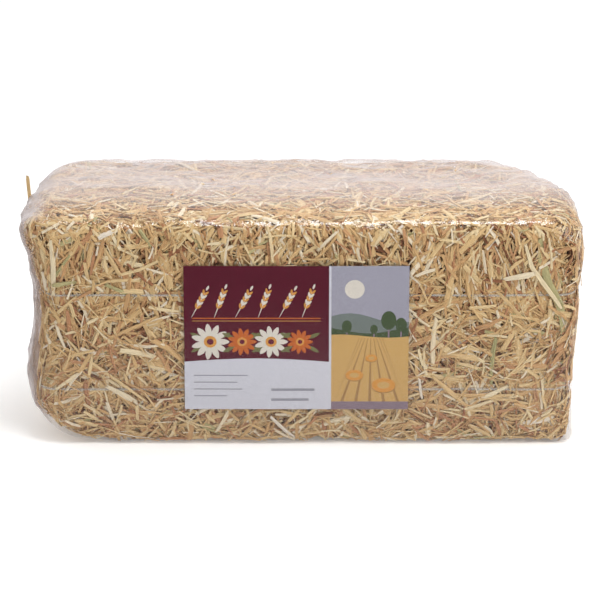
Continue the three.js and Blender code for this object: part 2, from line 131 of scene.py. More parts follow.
def new_material(name: str) -> tuple[bpy.types.Material, bpy.types.NodeTree]:
    """Makes an empty node material.

    Args:
        name: The material's name.

    Returns:
        The material and its cleared node tree.
    """
    material = bpy.data.materials.new(name)
    material.use_nodes = True
    material.node_tree.nodes.clear()
    return material, material.node_tree


def finish_material(tree: bpy.types.NodeTree, shader: bpy.types.Node) -> None:
    """Links the finished shader to the material's output."""
    add_node(tree, "OutputMaterial", inputs={"Surface": shader})


@dataclass(frozen=True)
class DriedStraw:
    """Threshed cereal straw, sun dried, then chopped and split in a mill. It gives a dull gold
    that turns from stalk to stalk to pinkish brown, cream or faded green, with a faint waxy
    sheen on its skin and fine fibres along its length."""

    name: str = "dried_straw_chopped"
    # Straws take their tone along this ramp; straws lying deep are pulled down it towards the dark
    # end as painted shade.
    tones: tuple[tuple[float, str], ...] = (
        (0.00, "#6f4428"), (0.10, "#a06a48"), (0.22, "#c08c64"), (0.36, "#cfa472"),
        (0.52, "#dcb882"), (0.68, "#e6ca98"), (0.80, "#eddab2"), (0.89, "#efe4d4"),
        (0.93, "#cbbd8c"), (1.00, "#aea876"))
    roughness: float = 0.56
    fibre_spacing: float = 0.45 * MM
    fibre_length: float = 14 * MM
    fibre_relief: float = 0.09 * MM
    streaks: tuple[float, float] = (0.74, 1.16)

    def material(self) -> bpy.types.Material:
        """Builds the node material, which reads each straw's tone and its lengthwise map.

        Returns:
            The material.
        """
        material, tree = new_material(self.name)
        tone = add_node(tree, "Attribute",
                        {"attribute_name": TONE, "attribute_type": "GEOMETRY"})
        ramp = add_node(tree, "ValToRGB", inputs={"Fac": tone.outputs["Fac"]})
        stops = ramp.color_ramp.elements
        for _ in self.tones[2:]:
            stops.new(0.5)
        for stop, (place, colour) in zip(stops, self.tones):
            stop.position = place
            stop.color = to_linear(colour)
        lengthwise = add_node(tree, "UVMap", {"uv_map": FIBRE_MAP})
        scaled = add_node(tree, "Mapping", inputs={
            "Vector": lengthwise, "Scale": (1 / self.fibre_length, 1 / self.fibre_spacing, 1.0)})
        fibres = add_node(tree, "TexNoise", inputs={
            "Vector": scaled, "Scale": 1.0, "Detail": 3.0, "Roughness": 0.6})
        shade = add_node(tree, "MapRange", inputs={
            "Value": fibres, "From Min": 0.25, "From Max": 0.75, "To Min": self.streaks[0],
            "To Max": self.streaks[1]})
        streaked = add_node(tree, "VectorMath", {"operation": "SCALE"}, {
            0: ramp, "Scale": shade})
        relief = add_node(tree, "Bump", inputs={
            "Height": fibres, "Strength": 0.6, "Distance": self.fibre_relief})
        skin = add_node(tree, "BsdfPrincipled", inputs={
            "Base Color": streaked, "Roughness": self.roughness, "IOR": 1.45,
            "Specular IOR Level": 0.35, "Normal": relief})
        finish_material(tree, skin)
        return material


@dataclass(frozen=True)
class PaintedGapShade:
    """Broken straw and dust packed between the stalks by the baler, coloured a dark warm brown
    that is painted shade: it stands for the shade deep in the gaps between the loose straws. It is
    mottled and quite dull."""

    name: str = "chaff_painted_gap_shade"
    # Painted shade for the deep gaps, mottled from the dark brown to the lighter brown.
    dark: str = "#54361f"
    light: str = "#94683f"
    scrap_size: float = 5 * MM
    relief: float = 1.2 * MM

    def material(self) -> bpy.types.Material:
        """Builds the node material on object coordinates.

        Returns:
            The material.
        """
        material, tree = new_material(self.name)
        places = add_node(tree, "TexCoord")
        scraps = add_node(tree, "TexVoronoi", inputs={
            "Vector": places.outputs["Object"], "Scale": 1 / self.scrap_size, "Randomness": 1.0})
        dust = add_node(tree, "TexNoise", inputs={
            "Vector": places.outputs["Object"], "Scale": 2.5 / self.scrap_size, "Detail": 4.0})
        amount = add_node(tree, "Math", {"operation": "MULTIPLY"}, {0: scraps, 1: dust})
        colour = add_node(tree, "Mix", {"data_type": "RGBA"}, {
            "Factor": amount, "A": to_linear(self.dark), "B": to_linear(self.light)})
        relief = add_node(tree, "Bump", inputs={
            "Height": amount, "Strength": 0.8, "Distance": self.relief})
        dull = add_node(tree, "BsdfPrincipled", inputs={
            "Base Color": colour, "Roughness": 0.9, "Specular IOR Level": 0.2, "Normal": relief})
        finish_material(tree, dull)
        return material


@dataclass(frozen=True)
class DrawnStrap:
    """Clear polypropylene strap, extruded and drawn, which leaves fine lines along it. It
    gives a thin glassy line with a light upper edge and the straw's colour through it."""

    name: str = "drawn_clear_polypropylene"
    tint: str = "#d5d6d0"
    roughness: float = 0.16
    ior: float = 1.49
    line_spacing: float = 0.8 * MM
    line_relief: float = 0.1 * MM
    milk: float = 0.34

    def material(self) -> bpy.types.Material:
        """Builds the node material, clear with some milk in it and lines along the strap.

        Returns:
            The material.
        """
        material, tree = new_material(self.name)
        places = add_node(tree, "TexCoord")
        level = add_node(tree, "Mapping", inputs={
            "Vector": places.outputs["Object"], "Scale": (0.02, 0.02, 1.0)})
        lines = add_node(tree, "TexNoise", inputs={
            "Vector": level, "Scale": 1 / self.line_spacing, "Detail": 2.0})
        relief = add_node(tree, "Bump", inputs={
            "Height": lines, "Strength": 0.5, "Distance": self.line_relief})
        milky = add_node(tree, "BsdfPrincipled", inputs={
            "Base Color": to_linear(self.tint), "Roughness": self.roughness, "IOR": self.ior,
            "Alpha": self.milk, "Normal": relief})
        finish_material(tree, milky)
        return material


class Ink(Enum):
    """The inks and bare paper of the label, as sRGB colours."""

    PAPER = "#d3d3dc"
    BURGUNDY = "#5f1028"
    PLUM = "#6f1c38"
    CREAM = "#dfd8cd"
    ORANGE = "#c8682c"
    AMBER = "#d99a4a"
    LEAF = "#77764a"
    SKY = "#a4a2b0"
    HILL = "#77807c"
    FIELD = "#cfa868"
    FURROW = "#a98352"
    TREE = "#4a5a3c"
    EARTH = "#8d7a86"
    GREY = "#9a9aa4"


@dataclass(frozen=True)
class PrintedPaper:
    """Offset printing on coated label paper. It gives even, slightly glossy colour with the
    faint mottle of ink on paper."""

    ink: Ink
    roughness: float = 0.45
    mottle_size: float = 1.6 * MM
    mottle: tuple[float, float] = (0.93, 1.05)

    def material(self) -> bpy.types.Material:
        """Builds the node material of one ink on object coordinates.

        Returns:
            The material.
        """
        material, tree = new_material(f"coated_paper_{self.ink.name.lower()}")
        places = add_node(tree, "TexCoord")
        mottle = add_node(tree, "TexNoise", inputs={
            "Vector": places.outputs["Object"], "Scale": 1 / self.mottle_size, "Detail": 3.0})
        shade = add_node(tree, "MapRange", inputs={
            "Value": mottle, "From Min": 0.3, "From Max": 0.7, "To Min": self.mottle[0],
            "To Max": self.mottle[1]})
        printed = add_node(tree, "VectorMath", {"operation": "SCALE"}, {
            0: to_linear(self.ink.value)[:3], "Scale": shade})
        sheet = add_node(tree, "BsdfPrincipled", inputs={
            "Base Color": printed, "Roughness": self.roughness, "IOR": 1.45,
            "Specular IOR Level": 0.2})
        finish_material(tree, sheet)
        return material


@dataclass(frozen=True)
class ShrinkFilm:
    """Polyolefin film, blown thin and shrunk with hot air. It gives a skin that is clear where it
    is faced and milky at a slant, with a sheen and small creases that sparkle. It is clearest
    towards the front, where it is stretched, and milkiest at the loose left end. Its clear part is
    greyed where it slants, twice as much at that end, which is painted shade standing for the
    shade in its pleats."""

    name: str = "shrunk_polyolefin_film"
    milk_tint: str = "#e8dedc"
    # Painted shade: the grey that the clear film takes on where it slants, doubled at the loose
    # left end.
    painted_slant_shade: str = "#bab2b3"
    facing_milk: float = 0.004
    slanting_milk: float = 0.64
    milk_power: float = 2.2
    foot_milk: float = 0.028
    foot_from: float = 40 * MM
    foot_to: float = 150 * MM
    facing_gloss: float = 0.036
    slanting_gloss: float = 0.36
    gloss_power: float = 5.0
    roughness: float = 0.17
    crinkle_size: float = 11 * MM
    crinkle_relief: float = 2.0 * MM
    stretched_from: float = -70 * MM
    stretched_to: float = 25 * MM
    stretched_share: float = 0.07
    loose_from: float = -260 * MM
    loose_to: float = -240 * MM

    def material(self) -> bpy.types.Material:
        """Builds the node material: milk, gloss and a painted grey shade all grow towards a
        slanting view.

        Returns:
            The material.
        """
        material, tree = new_material(self.name)
        places = add_node(tree, "TexCoord")
        crinkles = add_node(tree, "TexNoise", inputs={
            "Vector": places.outputs["Object"], "Scale": 1 / self.crinkle_size, "Detail": 3.0,
            "Roughness": 0.55, "Distortion": 1.0})
        relief = add_node(tree, "Bump", inputs={
            "Height": crinkles, "Strength": 0.8, "Distance": self.crinkle_relief})
        even = add_node(tree, "LayerWeight", inputs={"Blend": 0.5})
        creased = add_node(tree, "LayerWeight", inputs={"Blend": 0.5, "Normal": relief})
        cloud = self._rise(tree, even, self.milk_power, self.facing_milk, self.slanting_milk)
        gloss = self._rise(tree, creased, self.gloss_power, 0.0, self.slanting_gloss)
        parts = add_node(tree, "SeparateXYZ", inputs={0: places.outputs["Object"]})
        thinned = add_node(tree, "MapRange", inputs={
            "Value": parts.outputs["Y"], "From Min": self.stretched_from,
            "From Max": self.stretched_to, "To Min": self.stretched_share, "To Max": 1.0})
        loose = add_node(tree, "MapRange", inputs={
            "Value": parts.outputs["X"], "From Min": self.loose_from, "From Max": self.loose_to,
            "To Min": 1.0, "To Max": 0.0})
        thick = add_node(tree, "Math", {"operation": "MAXIMUM"}, {0: thinned, 1: loose})
        drawn = add_node(tree, "Math", {"operation": "MULTIPLY"}, {0: cloud, 1: thick})
        # Painted shade: the grey tint grows with the slant, is weakest at the stretched front and
        # doubles at the loose left end.
        painted_shade_share = add_node(tree, "Math", {"operation": "MULTIPLY_ADD"}, {
            0: drawn, 1: loose, 2: drawn})
        shine = add_node(tree, "Math", {"operation": "MULTIPLY_ADD"}, {
            0: gloss, 1: thick, 2: self.facing_gloss})
        foot = add_node(tree, "MapRange", inputs={
            "Value": parts.outputs["Z"], "From Min": self.foot_from, "From Max": self.foot_to,
            "To Min": self.foot_milk, "To Max": 0.0})
        amount = add_node(tree, "Math", {"operation": "ADD"}, {0: drawn, 1: foot})
        painted_shade_colour = add_node(tree, "Mix", {"data_type": "RGBA"}, {
            "Factor": painted_shade_share, "A": to_linear("#ffffff"), "B": to_linear(self.painted_slant_shade)})
        clear = add_node(tree, "BsdfTransparent", inputs={"Color": painted_shade_colour})
        milk = add_node(tree, "BsdfDiffuse", inputs={"Color": to_linear(self.milk_tint)})
        hazy = add_node(tree, "MixShader", inputs={"Fac": amount, 1: clear, 2: milk})
        sheen = add_node(tree, "BsdfGlossy", inputs={
            "Color": to_linear("#ffffff"), "Roughness": self.roughness, "Normal": relief})
        skin = add_node(tree, "MixShader", inputs={"Fac": shine, 1: hazy, 2: sheen})
        finish_material(tree, skin)
        return material

    @staticmethod
    def _rise(tree: bpy.types.NodeTree, slant: bpy.types.Node, power: float, low: float,
              high: float) -> bpy.types.Node:
        """Makes an amount that grows as the film turns away from the eye.

        Args:
            tree: The film's node tree.
            slant: Its layer weight node.
            power: How late it grows.
            low: The amount where the film is faced.
            high: The amount where it is edge on.

        Returns:
            The node that gives the amount.
        """
        steep = add_node(tree, "Math", {"operation": "POWER"}, {
            0: slant.outputs["Facing"], 1: power})
        return add_node(tree, "MapRange", inputs={"Value": steep, "To Min": low, "To Max": high})


@dataclass(frozen=True)
class MattWhiteBoard:
    """A matt white product table, lit a little from below. It gives an even white ground with
    hardly a shadow, and the faint unevenness of emulsion paint."""

    name: str = "matt_white_board"
    colour: str = "#fbfbfb"
    glow: float = 0.2

    def material(self) -> bpy.types.Material:
        """Builds the node material on object coordinates.

        Returns:
            The material.
        """
        material, tree = new_material(self.name)
        places = add_node(tree, "TexCoord")
        paint = add_node(tree, "TexNoise", inputs={
            "Vector": places.outputs["Object"], "Scale": 40.0, "Detail": 2.0})
        relief = add_node(tree, "Bump", inputs={
            "Height": paint, "Strength": 0.05, "Distance": 0.2 * MM})
        board = add_node(tree, "BsdfPrincipled", inputs={
            "Base Color": to_linear(self.colour), "Roughness": 0.95, "Specular IOR Level": 0.1,
            "Normal": relief, "Emission Color": to_linear(self.colour),
            "Emission Strength": self.glow})
        finish_material(tree, board)
        return material


def deselect_all() -> None:
    """Leaves no object selected, so that the next operator acts on its own piece alone."""
    if bpy.context.object and bpy.context.object.mode != "OBJECT":
        bpy.ops.object.mode_set(mode="OBJECT")
    bpy.ops.object.select_all(action="DESELECT")


def make_active(piece: bpy.types.Object) -> None:
    """Selects one object alone and makes it the active one.

    Args:
        piece: The object.
    """
    deselect_all()
    piece.select_set(True)
    bpy.context.view_layer.objects.active = piece


@contextmanager
def editing(piece: bpy.types.Object, select: str = "SELECT") -> Iterator[None]:
    """Opens a piece's mesh for edit operators, and closes it again after them.

    Args:
        piece: The piece.
        select: SELECT to begin with all of it selected, DESELECT with none.
    """
    make_active(piece)
    bpy.ops.object.mode_set(mode="EDIT")
    bpy.ops.mesh.select_all(action=select)
    yield
    bpy.ops.object.mode_set(mode="OBJECT")


def apply_modifiers(piece: bpy.types.Object) -> None:
    """Applies every modifier on a piece, in order.

    Args:
        piece: The piece.
    """
    make_active(piece)
    for name in [modifier.name for modifier in piece.modifiers]:
        bpy.ops.object.modifier_apply(modifier=name)


def merged_copy(node: str, name: str) -> bpy.types.Object:
    """Copies a CAD node's mesh as a new piece, its loose triangles joined at their corners.

    Args:
        node: The CAD node.
        name: The new piece's name.

    Returns:
        The new object.
    """
    piece = bpy.data.objects.new(name, frame["nodes"][node].data.copy())
    piece.data.name = name
    piece.data.materials.clear()
    bpy.context.scene.collection.objects.link(piece)
    with editing(piece):
        bpy.ops.mesh.remove_doubles(threshold=SAME_CORNER)
        bpy.ops.mesh.customdata_custom_splitnormals_clear()
    return piece


def dress(piece: bpy.types.Object, nodes: tuple[str, ...],
          materials: list[bpy.types.Material]) -> bpy.types.Object:
    """Gives a piece its finish and its place in the frame, and reports it.

    Args:
        piece: The finished piece.
        nodes: The CAD nodes that it stands for.
        materials: Its materials in slot order.

    Returns:
        The same piece.
    """
    for material in materials:
        piece.data.materials.append(material)
    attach(piece, ROOT)
    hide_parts(*nodes)
    piece.data.calc_loop_triangles()
    LOG.info("%s: %d triangles", piece.name, len(piece.data.loop_triangles))
    return piece


def tube_faces(numbers: Points) -> Points:
    """Joins rings of vertices into open tubes.

    Args:
        numbers: Vertex numbers, by ring and by place on the ring in the last two axes.

    Returns:
        The tubes' faces, four vertex numbers in each row.
    """
    turned = np.roll(numbers, -1, axis=-1)
    corners = [numbers[..., :-1, :], numbers[..., 1:, :], turned[..., 1:, :], turned[..., :-1, :]]
    return np.stack(corners, axis=-1).reshape(-1, 4)


def vertex_places(mesh: bpy.types.Mesh) -> Points:
    """Reads where a mesh's vertices are.

    Args:
        mesh: The mesh.

    Returns:
        Rows of x, y and z.
    """
    places = np.empty(len(mesh.vertices) * 3, np.float32)
    mesh.vertices.foreach_get("co", places)
    return places.reshape(-1, 3).astype(float)


def joined_mesh(name: str, places: Points, polygons: list[Points], maps: Points,
                tones: Points) -> bpy.types.Object:
    """Makes one piece of many small closed bodies.

    Args:
        name: The piece's name.
        places: All vertices.
        polygons: Arrays of faces, each array's faces with the same number of corners.
        maps: The lengthwise map's two values at each vertex.
        tones: The straw's tone at each vertex.

    Returns:
        The new object.
    """
    mesh = bpy.data.meshes.new(name)
    corners = np.concatenate([faces.ravel() for faces in polygons])
    sizes = np.concatenate([np.full(len(faces), faces.shape[1]) for faces in polygons])
    starts = np.concatenate([[0], np.cumsum(sizes)[:-1]])
    mesh.vertices.add(len(places))
    mesh.vertices.foreach_set("co", places.astype(np.float32).ravel())
    mesh.loops.add(len(corners))
    mesh.loops.foreach_set("vertex_index", corners.astype(np.int32))
    mesh.polygons.add(len(sizes))
    mesh.polygons.foreach_set("loop_start", starts.astype(np.int32))
    mesh.update(calc_edges=True)
    layer = mesh.uv_layers.new(name=FIBRE_MAP)
    layer.data.foreach_set("uv", maps[corners].astype(np.float32).ravel())
    tone = mesh.attributes.new(TONE, "FLOAT", "POINT")
    tone.data.foreach_set("value", tones.astype(np.float32))
    mesh.shade_flat()
    piece = bpy.data.objects.new(name, mesh)
    bpy.context.scene.collection.objects.link(piece)
    return piece


@dataclass
class RoundForm:
    """A closed CAD solid, seen from a smaller box inside it. Straws and film are laid on its
    surface by rays from that box, which bend round the bale's edges.

    Attributes:
        node: The CAD node.
        inset: How far in from the block's sides the box lies.
        crushed_inset: How far in it lies at the crushed end on the right.
    """

    node: str
    inset: float = 40 * MM
    crushed_inset: float = 80 * MM

    def __post_init__(self) -> None:
        """Sets the inner box and reads the solid's faces."""
        low, high = (np.array(corner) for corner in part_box(BLOCK))
        self.low = low + self.inset
        self.high = high - np.array([self.crushed_inset, self.inset, self.inset])
        mesh = frame["nodes"][self.node].data
        mesh.calc_loop_triangles()
        faces = [tuple(face.vertices) for face in mesh.loop_triangles]
        self.tree = BVHTree.FromPolygons(vertex_places(mesh).tolist(), faces)

    def rays(self, targets: Points) -> tuple[Points, Points]:
        """Returns where the ray to each target leaves the inner box, and its direction."""
        feet = np.clip(targets, self.low, self.high)
        return feet, unit(targets - feet)

    def reach(self, targets: Points) -> tuple[Points, Points]:
        """Finds how far the surface is along each target's ray.

        Args:
            targets: Points outside the inner box.

        Returns:
            The distance from the inner box, and the surface's outward direction there.
        """
        feet, rays = self.rays(targets)
        distances = np.empty(len(targets))
        outward = rays.copy()
        for index, (foot, ray) in enumerate(zip(feet.tolist(), rays.tolist())):
            _, normal, _, distance = self.tree.ray_cast(foot, ray)
            if normal is None:
                distances[index] = np.nan
                continue
            distances[index] = distance
            facing = 1.0 if normal.dot(Vector(ray)) > 0 else -1.0
            outward[index] = [facing * part for part in normal]
        return distances, outward


class Wall(Enum):
    """The six walls of the bale: the axis that each faces, and towards which end of it."""

    FRONT = (1, -1)
    BACK = (1, 1)
    LEFT = (0, -1)
    RIGHT = (0, 1)
    TOP = (2, 1)
    BOTTOM = (2, -1)


class Section(Enum):
    """Outlines across a straw, as shares of its width and thickness, its outer skin last."""

    FIBRE = ((-0.5, 0.0), (0.5, 0.0), (0.0, 1.0))
    BLADE = ((-0.5, 0.0), (0.5, 0.0), (0.38, 1.0), (-0.42, 0.85))
    SPLINT = ((-0.5, 0.0), (-0.26, 0.12), (0.26, 0.12), (0.5, 0.0), (0.27, 0.9), (-0.27, 0.9))


@dataclass(frozen=True)
class Cut:
    """One sort of chopped piece.

    Attributes:
        section: Its outline across.
        stations: How many outlines it has along its length.
        per_square_cm: How many lie on a square centimetre of wall.
        lengths: Shortest and longest.
        widths: Narrowest and widest.
        thickness: How thick it is.
        depths: How deep in the loose layer, and how far proud of it, it may lie.
    """

    section: Section
    stations: int
    per_square_cm: float
    lengths: tuple[float, float]
    widths: tuple[float, float]
    thickness: float
    depths: tuple[float, float]


CUTS = (
    Cut(Section.FIBRE, 2, 2.6, (6 * MM, 19 * MM), (0.5 * MM, 1.2 * MM), 0.6 * MM,
        (-5.0 * MM, 2.4 * MM)),
    Cut(Section.FIBRE, 3, 1.5, (16 * MM, 46 * MM), (0.8 * MM, 1.6 * MM), 0.7 * MM,
        (-4.5 * MM, 2.4 * MM)),
    Cut(Section.BLADE, 3, 5.6, (11 * MM, 42 * MM), (1.5 * MM, 3.8 * MM), 0.6 * MM,
        (-6.0 * MM, 2.2 * MM)),
    Cut(Section.SPLINT, 4, 0.75, (16 * MM, 58 * MM), (3.0 * MM, 6.0 * MM), 1.1 * MM,
        (-4.5 * MM, 1.8 * MM)),
)


MAP_STEP = 7.3 * MM


@dataclass
class StrawStrips:
    """Straws of one cut, as rows of stations. The lengthwise map moves on by a step from each
    straw to the next, so that no two show the same fibres.

    Attributes:
        cut: Their sort.
        centres: Station places, straws by stations by 3.
        ups: Outward directions at the stations.
        widths: Width at each station.
        tones: One tone for each straw.
        rolls: How far each straw is turned about its own length.
        skews: How slanting its two cut ends are.
    """

    cut: Cut
    centres: Points
    ups: Points
    widths: Points
    tones: Points
    rolls: Points
    skews: Points

    def loft(self, first_vertex: int) -> tuple[Points, list[Points], Points, Points]:
        """Makes closed bodies of the strips.

        Args:
            first_vertex: The number that the first vertex gets.

        Returns:
            Vertices, faces by number of corners, lengthwise map and tones.
        """
        outline = np.array(self.cut.section.value)
        count, stations, corners = len(self.centres), self.cut.stations, len(outline)
        along = unit(np.gradient(self.centres, axis=1))
        sides = unit(np.cross(along, self.ups))
        ups = np.cross(sides, along)
        cosine = np.cos(self.rolls)[:, None, None]
        sine = np.sin(self.rolls)[:, None, None]
        sides, ups = cosine * sides + sine * ups, cosine * ups - sine * sides
        across = outline[None, None, :, 0] * self.widths[:, :, None]
        above = np.broadcast_to(outline[None, None, :, 1] * self.cut.thickness, across.shape)
        slant = np.zeros(across.shape)
        slant[:, 0] = across[:, 0] * self.skews[0][:, None]
        slant[:, -1] = across[:, -1] * self.skews[1][:, None]
        places = (self.centres[:, :, None] + sides[:, :, None] * across[..., None]
                  + ups[:, :, None] * above[..., None] + along[:, :, None] * slant[..., None])
        steps = np.linalg.norm(np.diff(self.centres, axis=1), axis=2)
        lengthwise = np.concatenate([np.zeros((count, 1)), np.cumsum(steps, axis=1)], axis=1)
        shift = np.arange(count)[:, None, None] * MAP_STEP
        maps = np.stack([lengthwise[:, :, None] + shift + 0 * across, across + shift], axis=-1)
        numbers = first_vertex + np.arange(count * stations * corners)
        numbers = numbers.reshape(count, stations, corners)
        ends = np.concatenate([numbers[:, 0], numbers[:, -1, ::-1]])
        tones = np.repeat(self.tones, stations * corners)
        return places.reshape(-1, 3), [tube_faces(numbers), ends], maps.reshape(-1, 2), tones


@dataclass(frozen=True)
class StrawLie:
    """How straws lie that a mill has chopped and a baler has pressed, and how they differ.

    Attributes:
        flake_size: The size of the clumps that share a direction.
        flake_turn: How far the direction turns from clump to clump.
        flake_stray: How far a straw strays from its clump's direction.
        flaked: The share of straws that lie with their clump.
        length_skew: The two powers of the draw of lengths, which favours the short.
        depth_skew: The two powers of the draw of depths, which favours the high a little.
        hanging: The share that hang down at the top of a long wall.
        hanging_from: Where on the block's height they begin, and where they are all there.
        hanging_stray: How far those stray from upright.
        curve: How much a straw curves, against its length.
        bow: How much it arches off the block.
        tilt: How steeply it may lie.
        narrow_end: Its narrowest cut end, against its width.
        roll: How far it is turned about its own length.
        skew: How slanting its cut ends are.
        usual_tone: The tone of most straws.
        tone_spread: How far a straw's tone strays from that.
        tone_limits: The darkest and the palest of the gold straws.
        depth_painted_shade: Painted shade: how much paler a straw is for each metre that it lies
            further out, so that the deeper straws are darker.
        bleached_and_glint: The share of white straws, and their tones: partly pale bleached straw,
            partly painted glints on the straw.
        faded_green: The share of greenish straws, and their tones.
    """

    flake_size: float = 52 * MM
    flake_turn: float = 1.6 * math.pi
    flake_stray: float = 0.55
    flaked: float = 0.5
    length_skew: tuple[float, float] = (1.6, 2.6)
    depth_skew: tuple[float, float] = (1.5, 1.25)
    hanging: float = 0.7
    hanging_from: tuple[float, float] = (0.45, 0.85)
    hanging_stray: float = math.radians(24)
    curve: float = 0.035
    bow: float = 0.3 * MM
    tilt: float = math.radians(3.2)
    narrow_end: float = 0.6
    roll: float = 0.3
    skew: float = 0.6
    usual_tone: float = 0.5
    tone_spread: float = 0.2
    tone_limits: tuple[float, float] = (0.02, 0.84)
    depth_painted_shade: float = 0.035 / MM
    # Partly painted glints: some near-white straws stand for bright spots of light on the straw.
    bleached_and_glint: tuple[float, float, float] = (0.025, 0.84, 0.89)
    faded_green: tuple[float, float, float] = (0.012, 0.94, 1.0)

    def angles(self, wall: Wall, centres: Points, top: float,
               draw: np.random.Generator) -> Points:
        """Draws each straw's direction in the plane of its wall.

        Args:
            wall: The wall.
            centres: The straws' middles.
            top: How high the block is.
            draw: The wall's random draw.

        Returns:
            One angle in radians for each straw.
        """
        axis, side = wall.value
        count = len(centres)
        flakes = field(centres, self.flake_size, 3.7 * axis + side) * self.flake_turn
        flakes = flakes + draw.normal(0, self.flake_stray, count)
        free = draw.uniform(0, math.pi, count)
        angles = np.where(draw.random(count) < self.flaked, flakes, free)
        if wall in (Wall.FRONT, Wall.BACK):
            low, high = self.hanging_from
            shown = self.hanging * smoothstep(centres[:, 2], low * top, high * top)
            hanging = draw.normal(math.pi / 2, self.hanging_stray, count)
            angles = np.where(draw.random(count) < shown, hanging, angles)
        return angles

    def tones(self, depth: Points, draw: np.random.Generator) -> Points:
        """Draws each straw's tone: mostly gold, some brown, a few white or green.

        Args:
            depth: How far each straw lies above the block; the deeper it lies, the darker it is
                drawn, as painted shade.
            draw: The wall's random draw.

        Returns:
            One tone from 0 to 1 for each straw.
        """
        count = len(depth)
        # Painted shade: a straw is drawn darker the deeper it lies among the others, and paler the
        # further out it lies.
        tones = draw.normal(self.usual_tone, self.tone_spread, count) + self.depth_painted_shade * depth
        tones = np.clip(tones, *self.tone_limits)
        kind = draw.random(count)
        white, *white_tones = self.bleached_and_glint
        green, *green_tones = self.faded_green
        # Near-white straws: partly bleached straw, partly painted glints.
        tones = np.where(kind < white, draw.uniform(*white_tones, count), tones)
        return np.where(kind > 1 - green, draw.uniform(*green_tones, count), tones)


